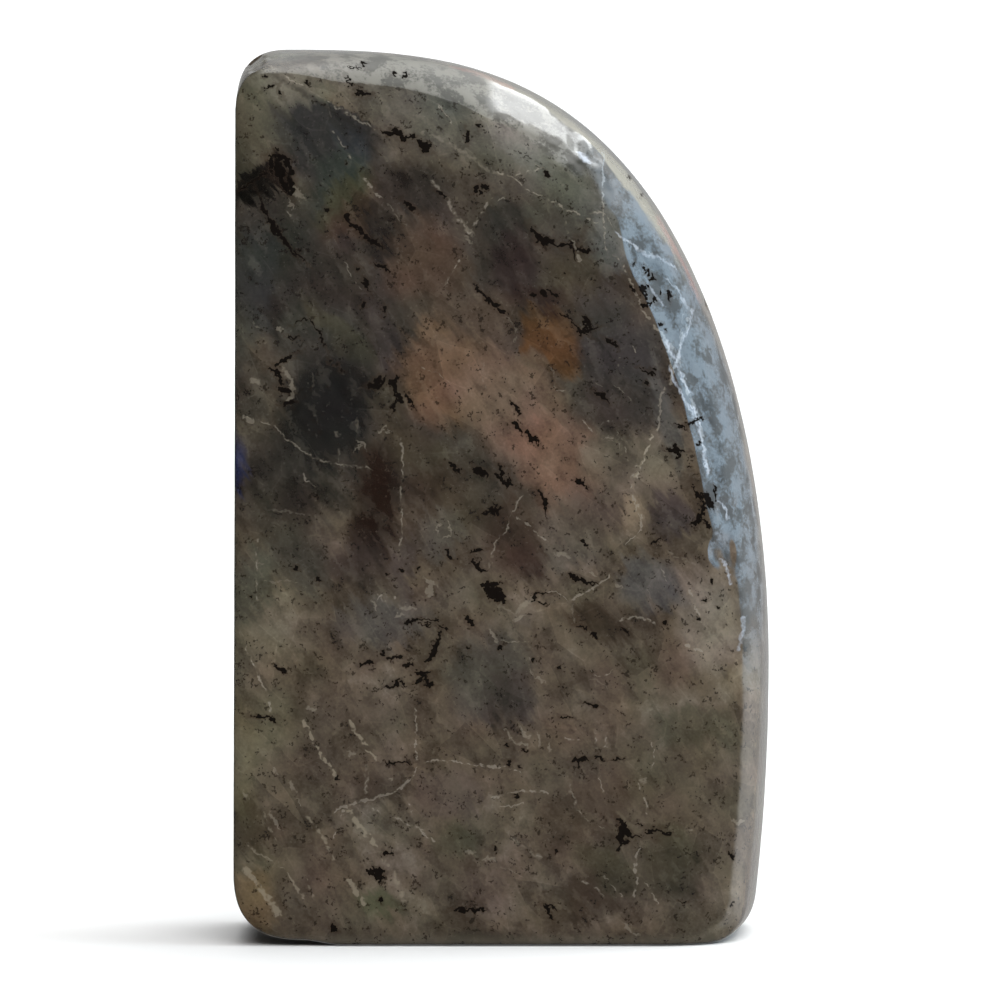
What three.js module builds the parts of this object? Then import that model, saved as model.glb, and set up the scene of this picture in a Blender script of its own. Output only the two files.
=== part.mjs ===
// A labradorite freeform: one polished piece of feldspar that stands on a flat sawn base.
//
// A lapidary shapes such a stone by grinding: a flat front, a flat left side, a base to stand on,
// one long curved edge that runs over the top and down the right side, and bevels that take the
// sharp edges off. The model is made in the same way. Each ground surface is a small function that
// says how many millimetres a point stands proud of it, the functions are joined with a smooth
// maximum that rounds the edge between them, and the skin of the stone is where the result is zero.
//
// Millimetres, +Z up, front towards -Y, origin in the middle of the bottom of the bounding box.

import * as THREE from "three";

// ---------------------------------------------------------------- driving dimensions

const HEIGHT = 150.5;
const HALF_WIDTH = 45.5;
const FRONT_DEPTH = 21; // from the middle of the base to the front face, at the base
const BACK_DEPTH = 22.5;
const FRONT_LEAN = 0.035; // millimetres that the front face goes back for each millimetre up
const BACK_LEAN = 0.045;
const LEFT_LEAN = 0.004;

// The curved edge: almost flat at the left of the top, and steep and full down the right side.
const CURVE_CENTRE_X = -42;
const CURVE_CENTRE_Z = 45;
const CURVE_POWER_ACROSS = 3.26;
const CURVE_POWER_UP = 2;
const CURVE_REACH_DOWN = 140; // how far below its centre the curve would close, if it went on
const WIDEST_Y = 8; // the side wall bulges, and is widest this far behind the middle
const SIDE_BULGE = 0.005; // 1/mm, how fast the side wall draws in away from there

// The bevel between the front and the curved edge.
const BEVEL_WIDTH = 8;
const BEVEL_WIDTH_LOW = 5; // where it narrows, on the lower half of the stone
const BEVEL_DEPTH = 7;
const BEVEL_NARROWS_FROM_Z = 70;
const BEVEL_NARROWS_TO_Z = 42;

// The broad facet that was ground across the top of the front face, from the left corner down to
// the right shoulder. Its lower edge goes through these two points of the front face.
const FACET_LEFT = { x: -41, z: 148 };
const FACET_RIGHT = { x: 17.5, z: 120.5 };
const FACET_RUN = 1.7; // millimetres across the facet for each millimetre that it goes back

// How wide each edge is rounded.
const TOP_LEFT_ROUNDING = 9;
const BASE_LEFT_ROUNDING = 11;
const BASE_RIGHT_ROUNDING = 6.5;
const FACET_ROUNDING = 1.6;
const BEVEL_ROUNDING = 4;
const RIM_ROUNDING = 3.6;
const BACK_ROUNDING = 11;
const BACK_CROWN = 0.0011; // 1/mm, how fast the domed back falls away from its middle

// The mesh: points round the outline, and rings from the middle of the front to that of the back.
const POINTS_AROUND = 108;
const RINGS = 38;
const CROWD_RINGS = 10; // degrees by which the rings are pulled towards the front and back edges
const CROWD_POINTS = 45; // millimetres of outline that a turn of one radian counts for
const HEART = new THREE.Vector3(0, 0, 70);

// ---------------------------------------------------------------- ground surfaces

/** The larger of two numbers, with the corner between them rounded over the given width. */
function smoothMax(a, b, width) {
  const overlap = Math.max(width - Math.abs(a - b), 0) / width;
  return Math.max(a, b) + (overlap * overlap * width) / 4;
}

/** 0 at the first edge, 1 at the second, and a smooth step between them. */
function smoothStep(from, to, value) {
  const share = THREE.MathUtils.clamp((value - from) / (to - from), 0, 1);
  return share * share * (3 - 2 * share);
}

/** How far a point stands outside the curved edge, seen from the front. */
function outsideCurve(x, z) {
  const halfWide = HALF_WIDTH - CURVE_CENTRE_X;
  const halfTall = z > CURVE_CENTRE_Z ? HEIGHT - CURVE_CENTRE_Z : CURVE_REACH_DOWN;
  const across = Math.max(x - CURVE_CENTRE_X, 0) / halfWide;
  const up = Math.abs(z - CURVE_CENTRE_Z) / halfTall;
  const excess = across ** CURVE_POWER_ACROSS + up ** CURVE_POWER_UP - 1;
  const slopeX = (CURVE_POWER_ACROSS * across ** (CURVE_POWER_ACROSS - 1)) / halfWide;
  const slopeZ = (CURVE_POWER_UP * up ** (CURVE_POWER_UP - 1)) / halfTall;
  return excess / Math.max(Math.hypot(slopeX, slopeZ), 0.001);
}

/** How far a point lies behind the front face. */
function behindFront(y, z) {
  return y + FRONT_DEPTH - FRONT_LEAN * z;
}

/** The outline of the stone: the curved edge, the left side and the base. */
function outsideOutline(x, y, z) {
  const drawnIn = SIDE_BULGE * (y - WIDEST_Y) ** 2;
  const curve = outsideCurve(x, z) + drawnIn;
  const left = -x - HALF_WIDTH + LEFT_LEAN * z;
  const sides = smoothMax(curve, left, TOP_LEFT_ROUNDING);
  return smoothMax(sides, -z, x < 0 ? BASE_LEFT_ROUNDING : BASE_RIGHT_ROUNDING);
}

/** The bevel between the front face and the curved edge. */
function outsideBevel(x, y, z) {
  const wide = THREE.MathUtils.lerp(
    BEVEL_WIDTH_LOW,
    BEVEL_WIDTH,
    smoothStep(BEVEL_NARROWS_TO_Z, BEVEL_NARROWS_FROM_Z, z),
  );
  const run = wide / BEVEL_DEPTH;
  return (outsideCurve(x, z) + wide - run * behindFront(y, z)) / Math.hypot(1, run);
}

/** The broad facet across the top of the front face. */
function outsideFacet(x, y, z) {
  const alongX = FACET_RIGHT.x - FACET_LEFT.x;
  const alongZ = FACET_RIGHT.z - FACET_LEFT.z;
  const length = Math.hypot(alongX, alongZ);
  const above = (alongX * (z - FACET_LEFT.z) - alongZ * (x - FACET_LEFT.x)) / length;
  return (above - FACET_RUN * behindFront(y, z)) / Math.hypot(1, FACET_RUN);
}

/** The back, which is ground to a low dome. */
function outsideBack(x, y, z) {
  const fall = BACK_CROWN * (x * x + 0.3 * (z - HEART.z) ** 2);
  return y - BACK_DEPTH + BACK_LEAN * z + fall;
}

/** How far a point stands outside the whole stone. It is negative inside. */
function outsideStone(x, y, z) {
  let outside = smoothMax(-behindFront(y, z), outsideFacet(x, y, z), FACET_ROUNDING);
  outside = smoothMax(outside, outsideBevel(x, y, z), BEVEL_ROUNDING);
  outside = smoothMax(outside, outsideOutline(x, y, z), RIM_ROUNDING);
  return smoothMax(outside, outsideBack(x, y, z), BACK_ROUNDING);
}

// ---------------------------------------------------------------- skin

/** The point where a ray from the heart of the stone comes out of it. */
function skinPoint(directionX, directionY, directionZ) {
  const direction = new THREE.Vector3(directionX, directionY, directionZ).normalize();
  let inside = 0;
  let outside = 2 * HEIGHT;
  const point = new THREE.Vector3();
  for (let halving = 0; halving < 48; halving++) {
    const middle = (inside + outside) / 2;
    point.copy(HEART).addScaledVector(direction, middle);
    if (outsideStone(point.x, point.y, point.z) > 0) outside = middle;
    else inside = middle;
  }
  return point;
}

/** A ring's direction, as a share of the way out to the rim and a share of the way to the front. */
function ringDirection(ring) {
  const share = 1 - (2 * ring) / RINGS; // 1 in the middle of the front, -1 in that of the back
  const degrees = 90 * share + CROWD_RINGS * Math.sin(2 * Math.PI * share);
  const radians = THREE.MathUtils.degToRad(degrees);
  const longest = Math.max(Math.cos(radians), Math.abs(Math.sin(radians)));
  return { outwards: Math.cos(radians) / longest, forwards: Math.sin(radians) / longest };
}

/** Points of the outline, seen from the heart. They stand closer together where it bends. */
function outlinePoints() {
  const fine = 1440;
  const traced = [];
  for (let step = 0; step < fine; step++) {
    const turn = (2 * Math.PI * step) / fine;
    traced.push(skinPoint(HALF_WIDTH * Math.cos(turn), 0, (HEIGHT / 2) * Math.sin(turn)).sub(HEART));
  }
  const run = [0];
  for (let step = 0; step < fine; step++) {
    const here = traced[step];
    const arriving = here.clone().sub(traced[(step + fine - 1) % fine]);
    const leaving = traced[(step + 1) % fine].clone().sub(here);
    run.push(run[step] + leaving.length() + CROWD_POINTS * arriving.angleTo(leaving));
  }
  const points = [];
  let step = 0;
  for (let point = 0; point < POINTS_AROUND; point++) {
    const wanted = (run[fine] * point) / POINTS_AROUND;
    while (run[step + 1] < wanted) step++;
    points.push(traced[step % fine]);
  }
  return points;
}

/** The skin as one closed mesh: a point at the front, rings over the rim, and a point at the back. */
function stoneGeometry() {
  const halfDepth = (FRONT_DEPTH + BACK_DEPTH) / 2;
  const outline = outlinePoints();
  const points = [skinPoint(0, -1, 0)];
  for (let ring = 1; ring < RINGS; ring++) {
    const { outwards, forwards } = ringDirection(ring);
    for (const edge of outline) {
      points.push(skinPoint(edge.x * outwards, -halfDepth * forwards, edge.z * outwards));
    }
  }
  points.push(skinPoint(0, 1, 0));

  const triangles = [];
  const last = points.length - 1;
  const at = (ring, step) => 1 + (ring - 1) * POINTS_AROUND + (step % POINTS_AROUND);
  for (let step = 0; step < POINTS_AROUND; step++) {
    triangles.push(0, at(1, step), at(1, step + 1));
    for (let ring = 1; ring < RINGS - 1; ring++) {
      triangles.push(at(ring, step), at(ring + 1, step), at(ring + 1, step + 1));
      triangles.push(at(ring, step), at(ring + 1, step + 1), at(ring, step + 1));
    }
    triangles.push(last, at(RINGS - 1, step + 1), at(RINGS - 1, step));
  }

  const geometry = new THREE.BufferGeometry().setFromPoints(points);
  geometry.setIndex(triangles);
  geometry.computeVertexNormals();
  return geometry;
}

/** Puts the origin in the middle of the bottom of the bounding box, and the base at exactly zero. */
function centreOnBase(geometry) {
  geometry.computeBoundingBox();
  const { min, max } = geometry.boundingBox;
  geometry.translate(-(min.x + max.x) / 2, -(min.y + max.y) / 2, -min.z);
  const position = geometry.getAttribute("position");
  const flat = 1e-4;
  for (let index = 0; index < position.count; index++) {
    if (position.getZ(index) < flat) position.setZ(index, 0);
  }
}

// ---------------------------------------------------------------- the part

const geometry = stoneGeometry();
centreOnBase(geometry);

const polishedFeldspar = new THREE.MeshStandardMaterial({
  color: new THREE.Color(0.3, 0.275, 0.245),
  roughness: 0.2,
  metalness: 0,
});

const stone = new THREE.Mesh(geometry, polishedFeldspar);
stone.name = "labradorite_stone";

const freeform = new THREE.Group();
freeform.name = "labradorite_freeform";
freeform.add(stone);

export default freeform;
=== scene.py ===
# %% [markdown]
# # A labradorite freeform
#
# A freeform is a rough piece of labradorite, a feldspar, that a stone cutter saws flat at the bottom,
# grinds to a pleasing outline and polishes. This lesson makes the polished skin, the dull flashes of
# colour inside the stone, its pale cleavage cracks and its black specks of iron ore.
#
# The plain solid of the stone is loaded first. Everything after that is measured from it.

# %% Load the plain solid
import math
from types import SimpleNamespace

import bpy
import numpy as np
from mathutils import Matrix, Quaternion, Vector, noise


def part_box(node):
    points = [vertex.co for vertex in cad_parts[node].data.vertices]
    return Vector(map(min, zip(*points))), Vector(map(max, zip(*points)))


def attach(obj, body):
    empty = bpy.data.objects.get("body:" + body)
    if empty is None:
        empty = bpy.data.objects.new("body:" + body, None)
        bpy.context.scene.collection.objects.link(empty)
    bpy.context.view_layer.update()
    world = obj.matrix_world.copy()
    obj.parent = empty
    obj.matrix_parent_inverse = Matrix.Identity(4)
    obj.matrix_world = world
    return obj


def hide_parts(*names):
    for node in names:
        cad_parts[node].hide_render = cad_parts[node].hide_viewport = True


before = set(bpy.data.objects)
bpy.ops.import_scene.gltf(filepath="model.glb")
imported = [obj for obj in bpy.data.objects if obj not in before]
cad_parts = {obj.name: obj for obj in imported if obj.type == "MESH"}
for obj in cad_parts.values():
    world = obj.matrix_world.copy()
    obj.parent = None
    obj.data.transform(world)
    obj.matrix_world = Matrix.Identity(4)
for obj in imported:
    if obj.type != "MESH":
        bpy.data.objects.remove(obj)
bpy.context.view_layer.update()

STONE = "labradorite_stone"
low, high = (np.array(corner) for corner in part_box(STONE))
size = high - low
print("the stone measures", (size * 1000).round(1), "mm")

# %% [markdown]
# ## The ground surfaces
#
# The stone could be modelled by sculpting, or by bevelling a block. It is simpler to copy what the
# cutter did: each ground surface is a function that says how many millimetres a point stands proud of
# it, and a smooth maximum joins two surfaces with a rounded edge. The plain solid was made from the
# same surfaces, so the sizes here are worked out from its box. A bevel is given as its width and its
# run per millimetre of depth. Both change along the curved edge, between the heights and the places
# across that end in `from` and `to`.

# %% Sizes of the ground surfaces, in millimetres
MM = 0.001
height = size[2] / MM
half_width = size[0] / MM / 2
depth = size[1] / MM

front_depth = 0.503 * depth
back_depth = 0.54 * depth
front_lean, back_lean, left_lean = 0.035, 0.045, 0.004

curve_centre_x, curve_centre_z = -0.924 * half_width, 0.3 * height
curve_power_across, curve_power_up = 3.26, 2.0
curve_reach_down = 0.93 * height
widest_y, side_bulge = 8.0, 0.005

bevel_low, bevel_side, bevel_shoulder, bevel_left = (7.4, 1.25), (10.8, 1.42), (7.8, 1.0), (9.4, 0.68)
bevel_top, bevel_top_narrows, bevel_left_narrows = (10.4, 0.85), 0.01, 0.165
bevel_narrows_from_z, bevel_narrows_to_z = 0.42 * height, 0.27 * height
notch_from_x, notch_to_x, notch_height = -27.0, -34.0, 0.85
shoulder_from_z, shoulder_to_z = 112, 124
top_from_z, top_to_z, top_from_x, top_to_x = 118, 126, 15.5, 12.5
left_from_x, left_to_x = 2, -8
crease_from_z, crease_to_z, crease_from_x, crease_to_x = 50, 76, 4, -10
top_rim_from_z, top_rim_to_z = 104, 126
facet_left, facet_right, facet_run = (-41.0, 148.0), (17.5, 120.5), 1.7
back_crown, heart_z = 0.0011, 70.0

roundings = {"top left": 8.2, "base left": 11.0, "base right": 6.5, "facet": 1.6,
             "bevel": 0.6, "soft bevel": 8.0, "left bevel": 1.4, "rim": 3.2, "top rim": 1.2, "back": 11.0}


# %% Two small helpers
def smooth_max(a, b, width):
    """The larger of two numbers, with the corner between them rounded over the given width."""
    overlap = np.maximum(width - np.abs(a - b), 0) / width
    return np.maximum(a, b) + overlap**2 * width / 4


def smooth_step(start, end, value):
    """0 at start, 1 at end, and a smooth step between them."""
    share = np.clip((value - start) / (end - start), 0, 1)
    return share**2 * (3 - 2 * share)


# %% The surfaces one by one
def outside_curve(x, z):
    """How far a point stands outside the long curved edge, seen from the front."""
    wide = half_width - curve_centre_x
    tall = np.where(z > curve_centre_z, height - curve_centre_z, curve_reach_down)
    across = np.maximum(x - curve_centre_x, 0) / wide
    up = np.abs(z - curve_centre_z) / tall
    excess = across**curve_power_across + up**curve_power_up - 1
    slope_x = curve_power_across * across ** (curve_power_across - 1) / wide
    slope_z = curve_power_up * up ** (curve_power_up - 1) / tall
    return excess / np.maximum(np.hypot(slope_x, slope_z), 0.001)


def behind_front(y, z):
    """How far a point lies behind the flat front face."""
    return y + front_depth - front_lean * z


def outside_outline(x, y, z):
    """The curved edge, the left side and the sawn base."""
    curve = outside_curve(x, z) + side_bulge * (y - widest_y) ** 2
    left = -x - half_width + left_lean * z
    sides = smooth_max(curve, left, roundings["top left"])
    base = np.where(x < 0, roundings["base left"], roundings["base right"])
    return smooth_max(sides, notch_height * smooth_step(notch_from_x, notch_to_x, x) - z, base)


def outside_bevel(x, y, z):
    """The bevel between the front face and the curved edge: how wide it is, and its run per depth."""
    (top_width, top_run), (left_width, left_run) = bevel_top, bevel_left
    steps = [(bevel_side, smooth_step(bevel_narrows_to_z, bevel_narrows_from_z, z)),
             (bevel_shoulder, smooth_step(shoulder_from_z, shoulder_to_z, z)),
             ((top_width - bevel_top_narrows * x**2, top_run),
              smooth_step(top_from_x, top_to_x, x) * smooth_step(top_from_z, top_to_z, z)),
             ((left_width + bevel_left_narrows * x, left_run), smooth_step(left_from_x, left_to_x, x))]
    wide, run = bevel_low
    for (next_wide, next_run), share in steps:
        wide = wide + (next_wide - wide) * share
        run = run + (next_run - run) * share
    return (outside_curve(x, z) + wide - run * behind_front(y, z)) / np.hypot(1, run)


def outside_facet(x, y, z):
    """The broad facet across the top of the front face."""
    (x0, z0), (x1, z1) = facet_left, facet_right
    above = ((x1 - x0) * (z - z0) - (z1 - z0) * (x - x0)) / math.hypot(x1 - x0, z1 - z0)
    return (above - facet_run * behind_front(y, z)) / math.hypot(1, facet_run)


def outside_back(x, y, z):
    """The back, ground to a low dome."""
    return y - back_depth + back_lean * z + back_crown * (x**2 + 0.3 * (z - heart_z) ** 2)


def outside_stone(point):
    """How far points stand outside the whole stone. It is negative inside."""
    x, y, z = point[..., 0], point[..., 1], point[..., 2]
    outside = smooth_max(-behind_front(y, z), outside_facet(x, y, z), roundings["facet"])
    sharper, softer = smooth_step(crease_from_z, crease_to_z, z), smooth_step(crease_from_x, crease_to_x, x)
    crease = roundings["soft bevel"] + (roundings["bevel"] - roundings["soft bevel"]) * sharper
    crease = crease + (roundings["left bevel"] - roundings["bevel"]) * softer
    outside = smooth_max(outside, outside_bevel(x, y, z), crease)
    near_top = smooth_step(top_rim_from_z, top_rim_to_z, z)
    rim = roundings["rim"] + (roundings["top rim"] - roundings["rim"]) * near_top
    outside = smooth_max(outside, outside_outline(x, y, z), rim)
    return smooth_max(outside, outside_back(x, y, z), roundings["back"])


# %% [markdown]
# ## The skin
#
# A ray that leaves the heart of the stone comes out of it once. The skin is a net of such points:
# rings from the middle of the front, over the rim, to the middle of the back. Points are closer
# together where the outline bends and near the edges, so that the roundings come out smooth.

# %% Shoot the rays
POINTS_AROUND = 400
RINGS = 232
CROWD_RINGS = math.radians(10)
CROWD_POINTS = 45.0
heart = np.array([0.0, 0.0, heart_z])


def skin_points(directions):
    """Where rays from the heart of the stone come out of it."""
    directions = directions / np.linalg.norm(directions, axis=-1, keepdims=True)
    inside = np.zeros(directions.shape[:-1])
    outside = np.full(directions.shape[:-1], 2.0 * height)
    for _ in range(40):
        middle = (inside + outside) / 2
        is_out = outside_stone(heart + directions * middle[..., None]) > 0
        outside = np.where(is_out, middle, outside)
        inside = np.where(is_out, inside, middle)
    return heart + directions * inside[..., None]


def outline_points():
    """Points of the outline, seen from the heart, closer together where it bends."""
    turn = np.linspace(0, 2 * np.pi, 1440, endpoint=False)
    rays = np.stack([half_width * np.cos(turn), 0 * turn, height / 2 * np.sin(turn)], axis=1)
    traced = skin_points(rays) - heart
    leaving = np.roll(traced, -1, axis=0) - traced
    arriving = np.roll(leaving, 1, axis=0)
    lengths = np.linalg.norm(leaving, axis=1)
    cosine = (leaving * arriving).sum(1) / (lengths * np.roll(lengths, 1))
    bend = np.arccos(np.clip(cosine, -1, 1))
    run = np.concatenate([[0], np.cumsum(lengths + CROWD_POINTS * bend)])
    wanted = np.linspace(0, run[-1], POINTS_AROUND, endpoint=False)
    closed = np.vstack([traced, traced[:1]])
    return np.stack([np.interp(wanted, run, closed[:, axis]) for axis in range(3)], axis=1)


def skin_net():
    """All points of the skin: the middle of the front, the rings, and the middle of the back."""
    outline = outline_points()
    share = 1 - 2 * np.arange(1, RINGS) / RINGS
    angle = np.pi / 2 * share + CROWD_RINGS * np.sin(2 * np.pi * share)
    longest = np.maximum(np.cos(angle), np.abs(np.sin(angle)))
    outwards, forwards = np.cos(angle) / longest, np.sin(angle) / longest
    rays = outline[None] * outwards[:, None, None]
    rays[..., 1] = -(front_depth + back_depth) / 2 * forwards[:, None]
    ends = skin_points(np.array([[0.0, -1, 0], [0, 1, 0]]))
    return np.vstack([ends[:1], skin_points(rays).reshape(-1, 3), ends[1:]])


skin = skin_net()
print("the skin has", len(skin), "points")

# %% [markdown]
# ## Worn and chipped
#
# A bevel ground by hand isn't quite flat, and the rim has lost small chips. A displacement modifier
# with a texture could do this. Here both are cut into the skin in code, so that they stay on the
# bevel and the rim: noise for the waves, and a list of chips, each with a place, a radius and a depth.

# %% Waves and chips
WAVE_DEPTH, WAVE_LENGTH = 0.18, 7.0
CHIPS = [((13, 134.6), 2.2, 0.25), ((15.2, 132.6), 1.6, 0.25), ((33.6, 106.4), 1.8, 0.2),
         ((37, 66), 3, 0.3), ((38.4, 73), 2.4, 0.25), ((-42, 149), 2.4, 0.4), ((-39, 150), 1.6, 0.3)]


def outward(points, step=0.02):
    """The direction straight out of the stone, from how fast the surfaces fall away on each axis."""
    slopes = [outside_stone(points + move) - outside_stone(points - move) for move in np.eye(3) * step]
    slopes = np.stack(slopes, axis=-1)
    return slopes / np.linalg.norm(slopes, axis=-1, keepdims=True)


def wave(place):
    """Smooth noise between about -1 and 1."""
    return noise.noise(Vector(place))


def relief(points):
    """How each point moves when the waves and chips are cut."""
    x, y, z = points[:, 0], points[:, 1], points[:, 2]
    waves = np.array([wave(point / WAVE_LENGTH) + 0.35 * wave(point / WAVE_LENGTH * 2.7) for point in points])
    on_bevel = smooth_step(-1.2, -0.2, outside_bevel(x, y, z)) * smooth_step(16, 4, y)
    on_bevel = on_bevel * (0.3 + 0.7 * smooth_step(4, 14, x) * smooth_step(50, 70, z))
    deep = WAVE_DEPTH * (0.15 + 0.85 * on_bevel) * (waves + 1)
    for (chip_x, chip_z), radius, chip_depth in CHIPS:
        away = np.hypot(x - chip_x, z - chip_z) / radius + 0.4 * waves
        deep = deep + chip_depth * smooth_step(1, 0.6, away) * (y < 2)
    deep = deep * smooth_step(0, 2, z) * smooth_step(0, 1.5, height - z)
    return -outward(points) * deep[:, None]

# %% [markdown]
# ## Fit the skin to the plain solid
#
# The net is moved and stretched by a hair so that it fills the box of the plain solid exactly, and
# the points of the base are put on one level.

# %% Fit the net
net_low, net_high = skin.min(axis=0), skin.max(axis=0)
stretch = size / MM / (net_high - net_low)
skin = low / MM + (skin - net_low) * stretch
base_points = skin[:, 2] < 0.001
skin[base_points, 2] = 0
skin = skin + relief(skin)
print("stretched by", stretch.round(4), "with", base_points.sum(), "points on the base")


# %% Join the points into a mesh
def skin_faces():
    """Triangles at both ends and four-sided faces between the rings."""
    def at(ring, step):
        return 1 + (ring - 1) * POINTS_AROUND + step % POINTS_AROUND
    last = 1 + (RINGS - 1) * POINTS_AROUND
    faces = []
    for step in range(POINTS_AROUND):
        faces.append((0, at(1, step), at(1, step + 1)))
        for ring in range(1, RINGS - 1):
            faces.append((at(ring, step), at(ring + 1, step), at(ring + 1, step + 1), at(ring, step + 1)))
        faces.append((last, at(RINGS - 1, step + 1), at(RINGS - 1, step)))
    return faces


mesh = bpy.data.meshes.new("labradorite_skin")
mesh.from_pydata((skin * MM).tolist(), [], skin_faces())
mesh.shade_smooth()
stone = bpy.data.objects.new("labradorite_skin", mesh)
bpy.context.collection.objects.link(stone)
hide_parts(STONE)
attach(stone, "root")
print("the stone has", len(mesh.polygons), "faces")

# %% [markdown]
# ## A small language for the material
#
# A material is a net of nodes. Written node by node it is hard to read, so two small classes help:
# `Value` stands for one output and turns `a * b + 1` into Math nodes, and `Recipe` adds any other
# node. The stone is then described in expressions, in millimetres on its front face.

# %% Values and recipes
class Value:
    """One output of a node. Arithmetic on it adds Math nodes to the same recipe."""

    def __init__(self, recipe, socket):
        self.recipe = recipe
        self.socket = socket

    def __add__(self, other):
        return self.recipe.math("ADD", self, other)

    def __sub__(self, other):
        return self.recipe.math("SUBTRACT", self, other)

    def __rsub__(self, other):
        return self.recipe.math("SUBTRACT", other, self)

    def __mul__(self, other):
        return self.recipe.math("MULTIPLY", self, other)

    def __abs__(self):
        return self.recipe.math("ABSOLUTE", self)

    __radd__ = __add__
    __rmul__ = __mul__


class Recipe:
    """Nodes in a tree, which is that of a material, or that of a group while the group is made."""

    def __init__(self, tree):
        self.tree = tree
        tree.nodes.clear()

    def node(self, kind, settings, inputs, output=0):
        """Adds a node: its settings first, then the values or links of its sockets."""
        made = self.tree.nodes.new("ShaderNode" + kind)
        for name, setting in settings.items():
            if name == "curves":
                draw_curves(made.mapping, setting)
            elif name == "stops":
                colour_stops(made.color_ramp, setting)
            else:
                setattr(made, name, setting)
        for key, given in inputs.items():
            if isinstance(given, Value):
                self.tree.links.new(given.socket, made.inputs[key])
            else:
                made.inputs[key].default_value = given
        return Value(self, made.outputs[output])

    def math(self, operation, *values):
        return self.node("Math", {"operation": operation}, dict(enumerate(values)))

    def vector(self, operation, *values):
        output = "Value" if operation in ("DOT_PRODUCT", "LENGTH", "DISTANCE") else "Vector"
        return self.node("VectorMath", {"operation": operation}, dict(enumerate(values)), output)

    def fade(self, value, start, end):
        """0 where the value is at start, 1 where it is at end, and a smooth step between them."""
        smooth = {"interpolation_type": "SMOOTHSTEP"}
        return self.node("MapRange", smooth, {"Value": value, "From Min": start, "From Max": end})

    def fade_three(self, value, start, end, most=(1, 1, 1)):
        """The same for the three numbers of a vector at once, each with its own ends and its own most."""
        smooth = {"interpolation_type": "SMOOTHSTEP", "data_type": "FLOAT_VECTOR"}
        return self.node("MapRange", smooth, {"Vector": value, 7: start, 8: end, 10: most}, "Vector")

    def parts(self, vector):
        """The three numbers of a vector, one by one."""
        first = self.node("SeparateXYZ", {}, {0: vector}, "X")
        return [Value(self, first.socket.node.outputs[name]) for name in "XYZ"]

    def mix(self, below, above, share, blend="MIX"):
        """Lays one colour over another."""
        settings = {"data_type": "RGBA", "blend_type": blend}
        return self.node("Mix", settings, {0: share, 6: below, 7: above}, output=2)

    def group(self, name, given, build):
        """Puts what build makes into a group of its own: named values go in, and a shader comes out."""
        inner, outer = bpy.data.node_groups.new(name, "ShaderNodeTree"), self.tree
        kinds = {"VALUE": "NodeSocketFloat", "VECTOR": "NodeSocketVector", "RGBA": "NodeSocketColor"}
        for key, value in given.items():
            inner.interface.new_socket(key, in_out="INPUT", socket_type=kinds[value.socket.type])
        inner.interface.new_socket("Shader", in_out="OUTPUT", socket_type="NodeSocketShader")
        self.tree = inner
        entrance = inner.nodes.new("NodeGroupInput")
        made = build(SimpleNamespace(**{key: Value(self, entrance.outputs[key]) for key in given}))
        inner.links.new(made.socket, inner.nodes.new("NodeGroupOutput").inputs["Shader"])
        self.tree = outer
        return self.node("Group", {"node_tree": inner}, given, "Shader")

    def noise(self, place, scale, detail=3.0, roughness=0.5, output="Fac"):
        """Cloudy noise. The scale is given as millimetres from one cloud to the next."""
        inputs = {"Vector": place, "Scale": 1 / scale, "Detail": detail, "Roughness": roughness}
        return self.node("TexNoise", {}, inputs, output)


def draw_curves(mapping, curves):
    """Gives each curve of a curve node its points."""
    for curve, places in zip(mapping.curves, curves):
        while len(curve.points) < len(places):
            curve.points.new(0.5, 0.5)
        for point, place in zip(curve.points, places):
            point.location = place
    mapping.update()


def colour_stops(ramp, stops):
    """Gives a colour ramp its stops."""
    while len(ramp.elements) < len(stops):
        ramp.elements.new(1)
    for element, (place, colour) in zip(ramp.elements, stops):
        element.position, element.color = place, colour


def paint(red, green, blue):
    """A colour as a painter's chart gives it, 0 to 255, in the linear light that Blender uses."""
    chart = np.array([red, green, blue]) / 255
    linear = np.where(chart <= 0.04045, chart / 12.92, ((chart + 0.055) / 1.055) ** 2.4)
    return (*(float(part) for part in linear), 1.0)


# %% [markdown]
# ## Where on the stone
#
# The pattern is worked out in millimetres: x to the right and z up from the base. The marks were
# noted down from a point half a millimetre left of the stone's middle and a little below its base,
# and PATTERN_SHIFT brings the two together. Minerals never lie along straight rulers, so the place is
# then pushed about by noise: `drifted` a long way, for soft clouds of colour, and `ragged` a little,
# for cracks and specks with frayed edges. `tilt` is 1 where the skin faces the front and less on the
# bevel, which is how `rim` finds the bevel. The placed marks are whole down to the first of the
# FRONT_ENDS behind the front face, and are gone at the second.

# %% Places, and how near the front they lie
PATTERN_SHIFT = (0.5, 0, 1.34)
FRONT_ENDS = (9.0, 17.0)
DRIFT_REACH, RAGGED_REACH = 7.0, 2.6
feldspar = bpy.data.materials.new("polished_labradorite")
feldspar.use_nodes = True
recipe = Recipe(feldspar.node_tree)
metres = recipe.node("TexCoord", {}, {}, "Object")
place = recipe.vector("MULTIPLY_ADD", metres, (1 / MM,) * 3, PATTERN_SHIFT)


def pushed(place, reach, hues):
    """The place pushed about by coloured noise, by up to half of the given reach each way."""
    push = recipe.vector("MULTIPLY_ADD", hues, (reach,) * 3, (-reach / 2,) * 3)
    return recipe.vector("ADD", place, push)


def flat(place):
    """x and z of a place, each filling all three parts of a vector, for three marks at once."""
    x, _, z = recipe.parts(place)
    return tuple(recipe.node("CombineXYZ", {}, dict(enumerate([part] * 3))) for part in (x, z))


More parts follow.
